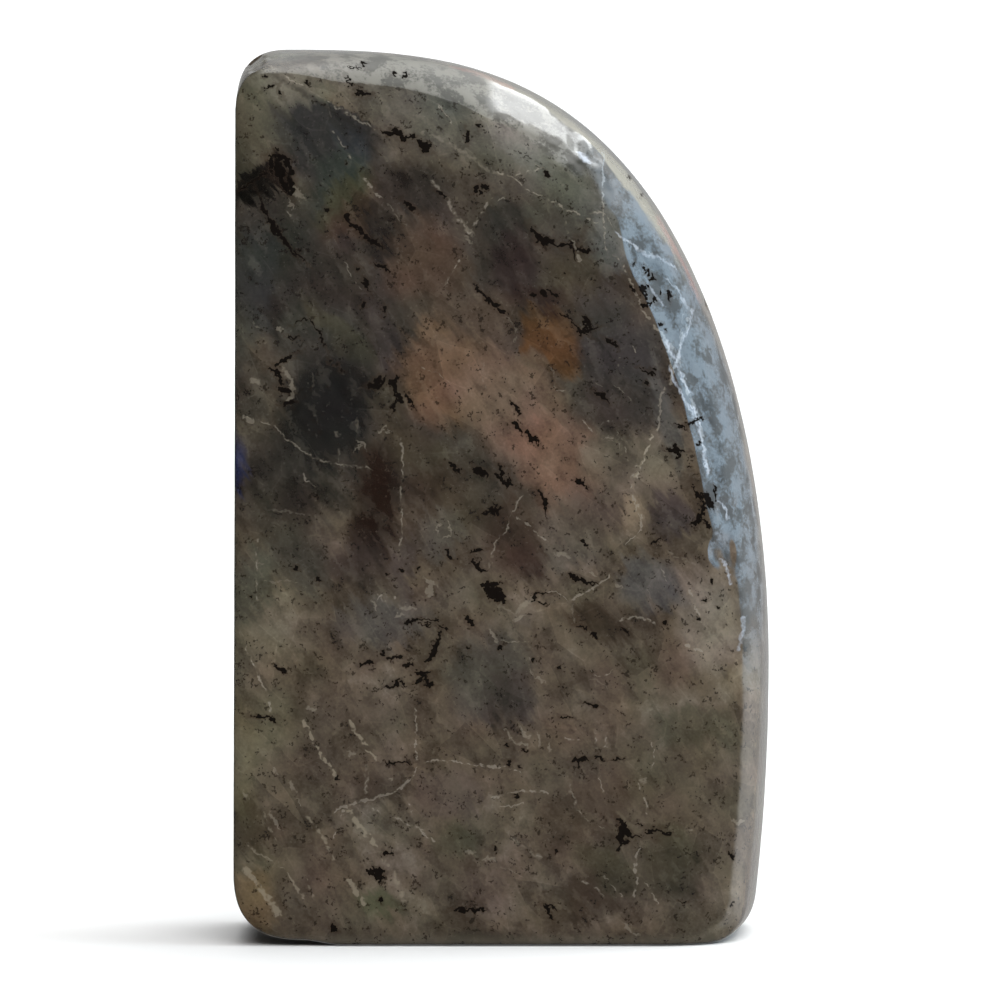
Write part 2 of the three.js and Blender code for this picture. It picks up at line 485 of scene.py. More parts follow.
hues = recipe.noise(place, 9.0, 1.0, output="Color")
drifted = pushed(place, DRIFT_REACH, hues)
ragged = pushed(place, RAGGED_REACH, recipe.noise(place, 1.8, 2.0, 0.9, output="Color"))
face = recipe.vector("DOT_PRODUCT", drifted, (0, 1, -front_lean)) - float(low[1] / MM)
on_front = recipe.fade(face, FRONT_ENDS[1], FRONT_ENDS[0])
tilt = recipe.vector("DOT_PRODUCT", recipe.node("TexCoord", {}, {}, "Normal"), (0, -1, 0))
right, _, up = recipe.parts(place)
rim = recipe.fade(tilt, 0.845, 0.815) * recipe.fade(right, -44, -20) * recipe.fade(up, 36, 70) * on_front

# %% [markdown]
# ## The ground colour
#
# The feldspar is a dull grey brown with a little green and rose in it, cloudy at every scale. It is
# not grainy: it shows soft clouds, streaks along the cleavage, blocks of slightly different tone,
# and the straight edges of cleavage planes.

# %% Clouds, haze, streaks and blocks
CLEAVAGE_TURN = math.radians(-54)


def along_turn(place, turn, long, short):
    """The place turned and squeezed, so that a texture on it runs along a direction."""
    return recipe.node("Mapping", {"vector_type": "TEXTURE"}, {
        "Vector": place, "Rotation": (0, -turn, 0), "Scale": (long, 2 * short, short)})


def cells(place, wide, feature, output):
    """Flat cells on the x and z of a place. A little of y goes into x, for the sides of the stone."""
    x, y, z = recipe.parts(place)
    across = recipe.node("CombineXYZ", {}, {0: x + y * 0.7, 1: z})
    settings = {"feature": feature, "voronoi_dimensions": "2D"}
    return recipe.node("TexVoronoi", settings, {"Vector": across, "Scale": 1 / wide}, output)


clouds = recipe.noise(drifted, 13.0, 2.0, 0.6)
haze = recipe.noise(ragged, 3.6, 2.0, 0.6)
grain = recipe.noise(place, 0.5, 1.0, 0.7)
streaks = recipe.noise(along_turn(place, CLEAVAGE_TURN, 7.0, 1.5), 1.0, 2.0, 0.6)
smudge = recipe.noise(along_turn(ragged, math.radians(-60), 4.5, 2.0), 1.0, 1.0, 0.6)
nearly_straight = recipe.vector("MULTIPLY_ADD", recipe.vector("SUBTRACT", drifted, place), (0.25,) * 3, place)
planes = along_turn(nearly_straight, CLEAVAGE_TURN, 9.5, 5.0)
block = recipe.parts(cells(planes, 1.0, "F1", "Color"))[0]
edges = cells(planes, 1.0, "DISTANCE_TO_EDGE", "Distance")
crackle = recipe.fade(edges, 0.03, 0.0) * recipe.fade(haze, 0.45, 0.6)
cleavage = (math.cos(CLEAVAGE_TURN), 0, math.sin(CLEAVAGE_TURN))
feather = recipe.vector("MULTIPLY_ADD", streaks - 0.5, tuple(8 * part for part in cleavage), drifted)

GROUND_STOPS = [(0.3, paint(60, 52, 43)), (0.43, paint(76, 67, 57)), (0.55, paint(86, 77, 66)),
                (0.66, paint(100, 92, 82))]
ground = recipe.node("ValToRGB", {"stops": GROUND_STOPS}, {"Fac": clouds * 0.65 + haze * 0.35}, "Color")
hue_shift = recipe.vector("MULTIPLY_ADD", hues, (0.24, 0.18, 0.24), (0.88, 0.91, 0.88))
pale_smudge = recipe.fade(smudge, 0.54, 0.72)
dark_smudge = recipe.fade(smudge, 0.44, 0.3)
tone = 1.08 + (haze - 0.5) * 0.75 + (streaks - 0.5) * 0.65 + (grain - 0.5) * 0.5
tone = tone + (block - 0.5) * 0.4 + pale_smudge * 0.2 - dark_smudge * 0.24 + crackle * 0.14
# painted shade: the tone is darker along the left edge, from about 24 to 124 mm up
tone = tone - 0.24 * recipe.fade(right, -38.5, -43) * recipe.fade(up, 24, 36) * recipe.fade(up, 124, 112)
shade = recipe.vector("MULTIPLY", hue_shift, recipe.node("CombineXYZ", {}, {0: tone, 1: tone, 2: tone}))

# %% [markdown]
# ## Marks by the hundred
#
# Patches, cracks and specks are all listed one by one, as a restorer would note them: a middle and a
# size in millimetres. A vector holds three numbers, so each node works on three marks at once.

# %% Ellipses three at a time
def threes(rows):
    """Rows three at a time. The last three are made up with copies of the last row."""
    for at in range(0, len(rows), 3):
        three = rows[at:at + 3]
        yield three + three[-1:] * (3 - len(three))


def ellipses(spot, shapes):
    """How far out in three ellipses a place is, squared: 0 in the middle and 1 on the rim."""
    x, z = spot
    rows = []
    for (centre_x, centre_z), wide, tall, turn in shapes:
        cosine, sine = math.cos(math.radians(turn)), math.sin(math.radians(turn))
        rows.append((cosine / wide, sine / wide, -(cosine * centre_x + sine * centre_z) / wide,
                     -sine / tall, cosine / tall, (sine * centre_x - cosine * centre_z) / tall))
    u_x, u_z, u_0, v_x, v_z, v_0 = zip(*rows)
    u = recipe.vector("MULTIPLY_ADD", x, u_x, recipe.vector("MULTIPLY_ADD", z, u_z, u_0))
    v = recipe.vector("MULTIPLY_ADD", x, v_x, recipe.vector("MULTIPLY_ADD", z, v_z, v_0))
    return recipe.vector("MULTIPLY_ADD", u, u, recipe.vector("MULTIPLY", v, v))


def nearest(spot, shapes):
    """The same for whichever of many ellipses is nearest, and 9 far from all of them."""
    least = (9, 9, 9)
    for three in threes(shapes):
        least = recipe.vector("MINIMUM", ellipses(spot, three), least)
    first, second, third = recipe.parts(least)
    return recipe.math("MINIMUM", first, recipe.math("MINIMUM", second, third))


# %% Lines three at a time
def is_upright(points):
    (x0, z0), (x1, z1) = points[0], points[-1]
    return abs(z1 - z0) > abs(x1 - x0)


def line_numbers(points, wide, strength):
    """Start, run, least offset, most offset, curve, half width and strength of one line."""
    if is_upright(points):
        points = [(z, x) for x, z in points]
    points = sorted(points)
    start, run = points[0][0], points[-1][0] - points[0][0]
    offsets = [offset for _, offset in points]
    least, most = min(offsets) - 0.5, max(offsets) + 0.5
    curve = [((at - start) / run, (offset - least) / (most - least)) for at, offset in points]
    slope = (offsets[-1] - offsets[0]) / run
    return start, run, least, most, curve, (wide / 2 + 0.1) * math.hypot(1, slope), strength


def strongest_line(spot, rows):
    """How strongly the strongest of many thin lines shows at a place, or 0 where there are none."""
    if not rows:
        return recipe.math("ADD", 0.0, 0.0)
    strongest = (0, 0, 0)
    for upright in (True, False):
        run_axis, off_axis = (spot[1], spot[0]) if upright else spot
        some = [line_numbers(*row) for row in rows if is_upright(row[0]) == upright]
        for three in threes(some):
            starts, runs, leasts, mosts, curves, wides, strengths = zip(*three)
            per_run = tuple(1 / run for run in runs)
            before = tuple(-start / run for start, run in zip(starts, runs))
            share = recipe.vector("MULTIPLY_ADD", run_axis, per_run, before)
            middle = recipe.node("VectorCurve", {"curves": curves}, {"Vector": share})
            spans = tuple(least - most for least, most in zip(leasts, mosts))
            away = recipe.vector("SUBTRACT", recipe.vector("MULTIPLY_ADD", middle, spans, off_axis), leasts)
            near = recipe.fade_three(recipe.vector("ABSOLUTE", away), wides, (0, 0, 0), strengths)
            from_middle = recipe.vector("ABSOLUTE", recipe.vector("SUBTRACT", share, (0.5, 0.5, 0.5)))
            whole = recipe.fade_three(from_middle, (0.5, 0.5, 0.5), (0.43, 0.43, 0.43))
            strongest = recipe.vector("MAXIMUM", recipe.vector("MULTIPLY", near, whole), strongest)
    first, second, third = recipe.parts(strongest)
    return recipe.math("MAXIMUM", first, recipe.math("MAXIMUM", second, third))


# %% [markdown]
# ## Flashes and patches of colour
#
# Labradorite flashes where light comes back from thin layers inside it: here a dull indigo, navy,
# copper and rose. Each patch is an ellipse on the front face, and each one is laid over those before
# it. `soft` is how much of the patch its rim takes up. Where a crack ends the colour, a last pair
# names a point of the cut and the direction that is cut away.

# %% The patches: name, middle (x, z), half width, half height, turn, colour, soft, strength, cut
PATCHES = [
    ("upper shade", (-2, 102), 40, 36, 0, (55, 51, 46), 0.9, 0.85),
    ("yellow grey side", (-46, 34), 13, 42, 0, (96, 90, 75), 0.9, 0.7),
    ("low right", (30, 22), 16, 20, 0, (74, 67, 57), 0.9, 0.6),
    ("facet", (0, 141), 34, 13, -20, (77, 76, 70), 0.6, 0.8),
    ("facet grey", (-6, 143), 10, 4, -15, (74, 75, 72), 0.9, 0.6),
    ("left corner", (-41, 143), 11, 10, 0, (84, 83, 71), 0.8, 0.85),
    ("brown left", (-43, 133), 5, 9, 0, (60, 56, 47), 0.8, 0.8),
    ("slate left", (-37, 116), 13, 17, 10, (42, 42, 39), 0.9, 0.95),
    ("blue grey left", (-41, 115), 4, 10, 0, (46, 47, 49), 0.9, 0.6),
    ("pale left rim", (-44, 108), 4, 12, 0, (60, 61, 58), 0.9, 0.7),
    ("dark middle left", (-24, 112), 11, 16, -25, (50, 45, 41), 0.9, 0.85),
    ("plum upper", (-15, 128), 9, 5.5, -25, (42, 37, 35), 0.8, 0.9),
    ("plum left", (-21, 121.5), 6, 5, -40, (36, 31, 28), 0.7, 0.85),
    ("indigo", (-29, 137), 11, 8.5, -35, (42, 42, 43), 0.5, 0.97, (-30.2, 144.2), (0.53, 1)),
    ("steel in indigo", (-25, 134), 5, 3, -50, (50, 52, 56), 0.9, 0.7),
    ("teal under indigo", (-28, 129.5), 4.5, 7, -55, (46, 51, 46), 0.8, 0.8),
    ("moss fringe", (-26.5, 127), 3.5, 7, -55, (60, 58, 42), 0.8, 0.75),
    ("rust fringe", (-24.8, 124.5), 3, 6.5, -50, (60, 49, 39), 0.9, 0.7),
    ("ore slab", (-40.2, 129), 5, 3.2, 12, (17, 15, 12), 0.25, 1),
    ("ore slab top", (-37, 132), 2.4, 2.8, 10, (20, 17, 15), 0.4, 1),
    ("green grey left", (-31, 104), 8, 8, 0, (50, 51, 46), 0.9, 0.7),
    ("brown blob", (-37.5, 108.4), 2.6, 3, 0, (38, 34, 31), 0.6, 0.8),
    ("olive streak", (-27.3, 104.5), 8.5, 1.9, -47, (62, 60, 49), 0.7, 0.9),
    ("mauve strip", (-19.5, 102.5), 3, 9, 15, (62, 55, 55), 0.9, 0.7),
    ("dark fan", (2.5, 122.5), 6.5, 5, -20, (45, 43, 40), 0.5, 0.9, (-2.9, 125), (-1, 0.64)),
    ("plum top", (2.5, 116.5), 4.5, 7.5, 5, (43, 35, 34), 0.6, 0.9),
    ("grey top", (9, 124), 5, 5, -15, (70, 68, 61), 0.7, 0.8),
    ("brown top right", (12.5, 114), 6, 8, 20, (68, 60, 50), 0.8, 0.8),
    ("olive top right", (12, 128), 8, 4.5, -30, (86, 86, 80), 0.7, 0.7),
    ("mauve right", (20.5, 101), 8, 14, 20, (52, 50, 49), 0.8, 0.9),
    ("violet grey right", (17.5, 93), 6, 6, 0, (55, 48, 45), 0.9, 0.7),
    ("plum bridge", (5.5, 110.2), 6.5, 2.8, -8, (40, 29, 27), 0.6, 0.85),
    ("copper upper", (-12.5, 117), 7.5, 9, 8, (73, 59, 49), 0.6, 0.9),
    ("copper middle", (-5, 106), 11, 8, 0, (80, 68, 58), 0.9, 0.8),
    ("copper", (-9, 97), 10, 9, -35, (95, 76, 60), 0.45, 0.95),
    ("copper low", (2, 92), 12, 9, -45, (104, 87, 74), 0.5, 0.9),
    ("salmon", (10, 83), 7.5, 9.5, 25, (108, 85, 72), 0.5, 0.9),
    ("orange crescent", (8.4, 103), 5.5, 6.5, 35, (84, 60, 38), 0.35, 0.97, (3.6, 100), (-1, -0.3)),
    ("khaki spot", (6, 100), 2.6, 3.4, 20, (86, 76, 64), 0.7, 0.8),
    ("olive below copper", (-14, 84), 8, 4.5, -40, (60, 54, 44), 0.7, 0.85),
    ("navy", (-29.5, 91), 9.5, 12.5, -15, (24, 24, 24), 0.6, 0.97),
    ("navy low", (-35, 81), 14, 11, 20, (31, 31, 29), 0.9, 0.8),
    ("khaki left", (-41.2, 96), 3, 3, 0, (64, 59, 52), 0.8, 0.8),
    ("khaki left low", (-42, 92), 3, 3, 0, (64, 60, 54), 0.8, 0.8),
    ("beige strip", (-20.5, 93), 1.8, 5, 0, (60, 54, 46), 0.9, 0.8),
    ("brown under copper", (-8, 73), 9, 8, 0, (62, 54, 45), 0.9, 0.8),
    ("brown middle", (2.5, 70), 5.5, 8, 10, (55, 45, 37), 0.6, 0.85),
    ("umber dark", (-12.5, 79), 5, 4, 0, (44, 34, 26), 0.9, 0.7),
    ("maroon", (-20.6, 75.5), 5.4, 11, -4, (31, 20, 15), 0.6, 1, (-16.6, 78), (1, 0.02)),
    ("plum under maroon", (-23, 66), 6, 5, 0, (50, 44, 40), 0.9, 0.8),
    ("fawn right", (27, 82), 7, 8, 0, (97, 89, 80), 0.8, 0.8),
    ("lattice right", (16, 84), 4, 5, 0, (92, 84, 74), 0.8, 0.7),
    ("mauve spot right", (28.8, 73.8), 3.6, 4.2, 10, (62, 55, 54), 0.5, 0.9),
    ("fawn middle", (14, 73.5), 8, 7, 20, (76, 67, 60), 0.8, 0.8),
    ("grey puff", (10, 68), 3.2, 2.6, 0, (76, 70, 62), 0.8, 0.8),
    ("umber spot", (4.5, 67), 3, 3.2, 0, (55, 43, 37), 0.8, 0.8),
    ("blue slate", (25.5, 62.3), 6.5, 4.6, -20, (78, 77, 77), 0.6, 0.9),
    ("umber", (16.8, 56), 6.5, 4.6, 0, (53, 44, 36), 0.6, 0.9),
    ("chalk right", (35, 56), 6, 11, 8, (112, 104, 96), 0.9, 0.75),
    ("dark olive left", (-34, 67), 7.5, 7, -10, (56, 54, 48), 0.9, 0.8),
    ("green grey low left", (-41, 62), 4.5, 8, 0, (68, 69, 60), 0.8, 0.7),
    ("lavender grey", (-20, 56.5), 8.5, 5, 8, (82, 78, 74), 0.8, 0.85),
    ("lilac", (-15.5, 65.5), 3.2, 5.5, -15, (68, 61, 58), 0.9, 0.8),
    ("grey around ring", (-9.8, 70.5), 3.6, 4, 0, (80, 75, 69), 0.8, 0.8),
    ("chalk by ore", (-8, 60), 4, 3.5, 20, (90, 81, 72), 0.8, 0.8),
    ("chalk middle", (4, 58.5), 4, 2.8, 20, (96, 87, 79), 0.8, 0.8),
    ("teal stripes", (-2, 47), 8, 8.5, -35, (62, 60, 55), 0.6, 0.85),
    ("plum in teal", (1.5, 43.5), 5, 4.5, -30, (55, 48, 46), 0.7, 0.8),
    ("green right", (32.5, 38.5), 9, 4.2, -5, (66, 63, 52), 0.6, 0.85),
    ("moss right", (24, 48), 4, 3.5, 0, (88, 82, 68), 0.9, 0.6),
    ("russet right", (30, 49), 5, 4.5, 0, (82, 70, 60), 0.8, 0.7),
    ("russet", (17.5, 27), 6, 6.2, 10, (72, 61, 53), 0.4, 0.85),
    ("olive low", (18, 14.5), 6, 3.8, -30, (66, 62, 49), 0.6, 0.8),
    ("olive low right", (29, 15.5), 6.5, 6, -10, (62, 58, 47), 0.6, 0.85),
    ("umber low", (14, 9.5), 6.5, 4, -10, (54, 45, 37), 0.7, 0.85),
    ("shadow at the base", (5, 1), 44, 2.2, 0, (58, 53, 45), 0.9, 0.75),
    ("dark left low", (-42, 22), 6, 6, -20, (60, 53, 40), 0.9, 0.8),
    ("warm corner", (-43, 8), 7, 7, -50, (106, 88, 66), 0.9, 0.8),
    ("yellow side low", (-44, 34), 3.5, 12, 0, (104, 98, 78), 0.9, 0.6),
    ("mauve low", (-8, 27), 6, 4.5, 0, (86, 75, 70), 0.9, 0.7),
    ("dark wedge low", (-20, 28.5), 5, 3, -10, (58, 50, 42), 0.7, 0.8),
    ("green low", (-7.5, 18.5), 4, 4, -30, (62, 60, 48), 0.9, 0.7),
    ("dark low middle", (-9, 12), 5, 4, -30, (70, 63, 54), 0.9, 0.7),
    ("pale bottom", (1, 8), 6, 3.4, 0, (96, 88, 78), 0.9, 0.8),
    ("green pit at the base", (-20, 8), 4, 3, 0, (68, 70, 54), 0.8, 0.8),
    # The next two patches are painted glow: the facet is lighter just below the bright streak.
    ("grey mist", (4, 137), 10, 4.6, -32, (112, 111, 105), 0.9, 0.85),
    ("grey mist right", (18.6, 121.5), 4.6, 7.5, 0, (94, 95, 92), 0.9, 0.8),
    ("grey crease", (28, 90), 1.9, 12, 15, (84, 84, 82), 0.8, 0.65),
    ("cream glow", (23.2, 74), 2.2, 3.6, 0, (118, 106, 90), 0.9, 0.6),
    # painted sheen: the top left edge is paler where it catches light from above
    ("pale top left", (-36, 146), 8, 3.6, -18, (104, 102, 92), 0.9, 0.7),
    ("blue flash", (-45.4, 83), 2.4, 6.5, 4, (34, 44, 86), 0.9, 0.9),
]
print(len(PATCHES), "patches")


def rise(shape, margin):
    """The lowest and the highest point that an ellipse reaches."""
    (_, z), wide, tall, turn = shape
    reach = 1.15 * math.hypot(wide * math.sin(math.radians(turn)), tall * math.cos(math.radians(turn)))
    return z - reach - margin, z + reach + margin


def lay_patches(colour, soft_spot, spot, patches):
    """Lays patches over a colour, in their order."""
    for three in threes(patches):
        inner = tuple((1 - row[6]) ** 2 for row in three)
        share = recipe.fade_three(ellipses(soft_spot, [row[1:5] for row in three]), (1.25, 1.25, 1.25),
                                  inner, tuple(row[7] for row in three))
        if any(len(row) > 8 for row in three):
            share = recipe.vector("MULTIPLY", share, kept_by_cuts(spot, three))
        for row, part in zip(three, recipe.parts(share)):
            colour = recipe.mix(colour, paint(*row[5]), part)
            if row is three[-1]:
                break
    return colour


def kept_by_cuts(spot, three):
    """1 on the near side of each patch's cut and 0 beyond it. A patch with no cut is kept whole."""
    rows = []
    for row in three:
        (x, z), (dx, dz) = row[8:] if len(row) > 8 else ((0, 0), (0, 0))
        length = math.hypot(dx, dz) or 1
        rows.append((dx / length, dz / length, -(dx * x + dz * z) / length if len(row) > 8 else -9))
    along_x, along_z, offset = zip(*rows)
    beyond = recipe.vector("MULTIPLY_ADD", spot[0], along_x,
                           recipe.vector("MULTIPLY_ADD", spot[1], along_z, offset))
    return recipe.fade_three(beyond, (0.3, 0.3, 0.3), (-0.3, -0.3, -0.3))


# %% [markdown]
# ## Pale cracks and veins
#
# Feldspar splits along flat planes, and light catches in the splits. Each crack is a thin line
# through a few points, with a width and a strength. The veins are wider and cream-coloured. The
# glints are painted glints: blue-white lines where edges of the bevel catch the light.

# %% The cracks and veins of the front: points (x, z), width, strength
CRACKS = [
    ([(16.4, 87.5), (17.2, 89.2), (19, 89.7), (20.8, 88.6), (21.3, 86.6), (20.4, 84.6)], 0.3, 0.6),
    ([(17.6, 86.9), (18.6, 88), (19.8, 87.4), (19.9, 86.1), (18.9, 85.4)], 0.25, 0.6),
    ([(21.8, 77.8), (23, 75), (23.7, 72.4), (22.4, 70.2), (20.4, 68.7)], 0.4, 0.8),
    ([(-41, 150.6), (-35.1, 147), (-30.2, 144.2), (-26, 141.5), (-21.2, 138.8), (-19.6, 138)], 0.5, 0.6),
    ([(-13.9, 138.4), (-9.9, 136.8), (-5.9, 134.7), (-2.9, 132.4), (0.5, 130.7)], 1.2, 0.4),
    ([(-2.5, 132), (1.5, 130.7), (4.2, 129), (7.2, 127.3), (11.6, 125), (14.3, 124),
      (17.3, 122.6)], 0.6, 0.6),
    ([(2.5, 130.7), (5.5, 131.7), (7.6, 132)], 0.6, 0.5), ([(3.9, 133.1), (7.6, 132)], 0.4, 0.4),
    ([(10.6, 125), (11.1, 122.3), (11.6, 120.6)], 0.6, 0.4),
    ([(11.6, 120.9), (12.6, 118.9), (13.6, 116.2)], 0.8, 0.7),
    ([(-0.5, 126.7), (1.2, 127.2), (2.9, 126.3)], 0.5, 0.5),
    ([(-10.9, 144.2), (-9.9, 142.1), (-7.9, 139.5)], 0.5, 0.5),
    ([(17.5, 136), (17.3, 129), (17.4, 124.3), (17.6, 120.3), (18.3, 116.9)], 0.5, 0.6),
    ([(14.6, 124.6), (17.6, 124.3), (19, 121.8), (22.2, 119.2), (27, 117.1)], 0.6, 0.6),
    ([(18.4, 119), (21, 114.9), (23, 110.8), (24.4, 107.5), (27, 104.1), (28.7, 99.7), (28.7, 96.7),
      (27, 93.7), (26.7, 89.6), (25.4, 86.6), (24.4, 84.2), (22.7, 79.8), (21.8, 78), (20.7, 76)], 0.7, 0.75),
    ([(32.4, 108.6), (31, 104.5), (29.7, 100.6), (29.1, 97)], 0.5, 0.7),
    ([(28.2, 103.6), (29.7, 100.1), (31.7, 94.3), (33.3, 89.8), (34.4, 84.7), (35.2, 80)], 0.9, 0.6),
    ([(26, 105), (27.4, 104.2), (28.4, 101)], 0.9, 0.8),
    ([(31.1, 108.1), (30.6, 105.1), (30.2, 101.1)], 0.3, 0.4),
    ([(4.2, 77.8), (2.2, 74.5), (1.2, 71.8), (-0.8, 69.1), (-1.5, 66.4), (-2.5, 64.4)], 0.6, 0.55),
    ([(2.5, 73.8), (5.9, 71.4), (8.6, 69.1)], 0.35, 0.55),
    ([(24.4, 82.9), (22.4, 80.5), (22, 78.2), (23.3, 75.1), (24, 72.8)], 1.6, 0.5),
    ([(-44.2, 90.6), (-39.5, 89.6), (-35.1, 86.2), (-31.1, 83.6), (-27, 82.4), (-22.7, 82),
      (-20.7, 81.2)], 0.5, 0.55),
    ([(-27.4, 88.3), (-27, 84.9), (-27, 82.5)], 0.6, 0.4), ([(-24.2, 91), (-23.9, 87.6)], 0.9, 0.35),
    ([(-31.7, 98.4), (-31.4, 95.3)], 0.8, 0.3), ([(-32.9, 81.2), (-32.4, 79.8), (-30.9, 78.7)], 0.3, 0.9),
    ([(-16.6, 87.4), (-16.3, 83.2), (-16.6, 78.8), (-16.6, 74.5), (-16.6, 70.4), (-18, 67.4)], 0.5, 0.6),
    ([(10.9, 59.3), (12.6, 60), (14.9, 61.3), (17.3, 63), (19, 64.4)], 0.45, 0.95),
    ([(7.6, 61.2), (9.2, 61), (10.9, 60), (11.3, 59.3)], 0.3, 0.6),
    ([(19.7, 56.3), (22.3, 56.8), (26.4, 55.3)], 0.7, 0.6),
    ([(-43.8, 53.6), (-42.5, 51.2), (-41.2, 48.5), (-39.8, 45.2), (-38.8, 43.1),
      (-38.6, 40.4)], 0.55, 0.6),
    ([(-41, 70.4), (-40.8, 66.4), (-41, 63), (-40.5, 59)], 0.7, 0.5),
    ([(-41.2, 65.7), (-38.5, 66)], 0.3, 0.4), ([(-40.1, 62.8), (-33.4, 62.7)], 0.4, 0.4),
    ([(-39.5, 74.8), (-36.1, 74.5), (-31.7, 73.8)], 0.6, 0.35),
    ([(-14.3, 42.1), (-14.1, 38.4), (-14.1, 33.7), (-13.9, 32.4)], 0.5, 0.6),
    ([(-13.4, 32.5), (-9.7, 32.6), (-4.7, 32), (-0.2, 31.6), (4.2, 30.3)], 0.4, 0.7),
    ([(-29, 23), (-27.4, 24.4), (-25.7, 25.1), (-20.3, 26.6), (-17.3, 27.8), (-14.9, 29.8),
      (-13.1, 32.4)], 0.6, 0.8),
    ([(-22.3, 32.4), (-22.3, 29), (-22.7, 27)], 1.2, 0.45),
    ([(-22, 24.6), (-17.6, 23.3), (-15.3, 21.9), (-12.6, 20.9)], 0.9, 0.5),
    ([(-15.3, 25.6), (-14.6, 23.6)], 0.4, 0.8), ([(-13.8, 21.4), (-12.5, 20), (-10.7, 19.1)], 0.6, 0.8),
    ([(-26, 24.6), (-27.4, 21.9), (-28, 19.2)], 0.4, 0.6),
    ([(22.7, 29.3), (24.4, 26), (24.7, 23.3)], 0.7, 0.6),
    ([(24, 18.6), (22.7, 14.5), (23, 12.5), (22.3, 9.1)], 0.6, 0.8),
    ([(24.4, 12.5), (25.4, 10.5), (26.7, 8.1)], 0.5, 0.5), ([(16.6, 30), (17.6, 27)], 0.4, 0.5),
    ([(11.6, 29.3), (12.3, 26.3), (13.9, 23.3), (17.6, 21.2), (20, 20.6)], 0.5, 0.5),
    ([(17.3, 13.5), (19.3, 11.1), (21, 9.5)], 0.35, 0.5),
    ([(13.6, 12.5), (15.6, 11.5), (17.6, 9.8)], 0.5, 0.5),
    ([(-1.8, 26.3), (1.2, 27), (4.5, 27.6), (8.9, 27)], 0.8, 0.6),
    ([(-1.8, 25.3), (1.5, 25), (4.2, 25.6)], 0.5, 0.5),
    ([(0.8, 20.6), (4.2, 17.9), (7.2, 16.2)], 1.4, 0.5),
    ([(-0.5, 14.9), (2.2, 13.8), (4.2, 12.8)], 0.4, 0.4), ([(10.6, 36.4), (13.6, 36.1)], 0.5, 0.5),
    ([(16, 38.1), (16.3, 34.4)], 1.0, 0.5), ([(18, 37.8), (17.6, 34.7)], 1.0, 0.5),
    ([(25.4, 36.1), (25.7, 31.7), (24.7, 30.7)], 0.5, 0.5),
    ([(-0.2, 52.9), (2.9, 52.6), (5.5, 52.9)], 0.4, 0.5), ([(12.3, 59), (12.4, 55.6)], 0.6, 0.4),
    ([(14.9, 48.5), (16.8, 46.8), (19, 48.2)], 0.35, 0.5),
    ([(14.6, 46.2), (16.3, 46.2), (18.3, 44.5)], 0.4, 0.4),
    ([(31.7, 61.7), (32.8, 58.6), (33.8, 55.6)], 0.8, 0.6),
    ([(31.1, 51.9), (32.8, 51.4), (34.1, 50.9)], 0.9, 0.7),
    ([(27.7, 68.1), (30.4, 66.7), (33.1, 65.7)], 0.6, 0.4),
    ([(26.7, 65.7), (27.7, 64), (28.4, 61.7)], 0.4, 0.5), ([(24.4, 62.3), (25.4, 59.6)], 0.35, 0.4),
    ([(-28.2, 138.6), (-27.4, 137.4), (-26.4, 136.1), (-24.7, 133.4)], 0.6, 0.55),
    ([(-28.9, 142.3), (-28.2, 140.5)], 0.5, 0.3),
    ([(-23, 130.7), (-21.3, 128.3), (-19.3, 126.7)], 0.6, 0.8),
    ([(-19.3, 126.7), (-17.3, 124), (-15.6, 122.1)], 0.35, 0.4),
    ([(-11.9, 130.4), (-9.2, 127.3), (-6.6, 123), (-4.5, 120.6)], 1.3, 0.55),
    ([(-1.2, 127.3), (-2.9, 125), (-4.5, 122.3)], 0.6, 0.6),
    ([(-26, 116.6), (-24.4, 113.2), (-23, 111.5)], 0.3, 0.45),
    ([(-31.4, 112.5), (-31.2, 108.8)], 0.3, 0.3),
    ([(-6.6, 117.2), (-8.2, 114.2), (-9.6, 112.2)], 0.5, 0.6),
    ([(-41.8, 106.8), (-40.6, 105.6), (-39.5, 105.8)], 0.4, 0.5),
    ([(-13.6, 99), (-10.6, 97.7), (-7.9, 96)], 0.3, 0.5), ([(-2.9, 99.7), (-2.5, 95)], 0.7, 0.35),
    ([(19, 96), (22.3, 93)], 0.25, 0.45), ([(14.9, 97), (17.6, 95.3)], 0.25, 0.45),
    ([(20.3, 100.7), (19.8, 99)], 0.6, 0.5), ([(22.3, 102.4), (23, 101.1)], 0.3, 0.8),
    ([(13.6, 90.3), (16.3, 87.3)], 0.4, 0.5), ([(16.3, 86.2), (18.3, 86.9), (21.7, 86.2)], 0.4, 0.5),
    ([(21, 85.6), (21.5, 82.9)], 0.4, 0.5), ([(9.2, 95), (10.9, 94.7), (12.3, 95.2)], 0.4, 0.5),
    ([(7.9, 99.4), (8.9, 97.7), (9.2, 95.3)], 0.4, 0.4),
    ([(0.8, 107.5), (2.5, 105.1), (2.5, 102.7)], 0.3, 0.4),
    ([(-20.7, 59.6), (-18.6, 61), (-17.4, 60)], 0.8, 0.7),
]
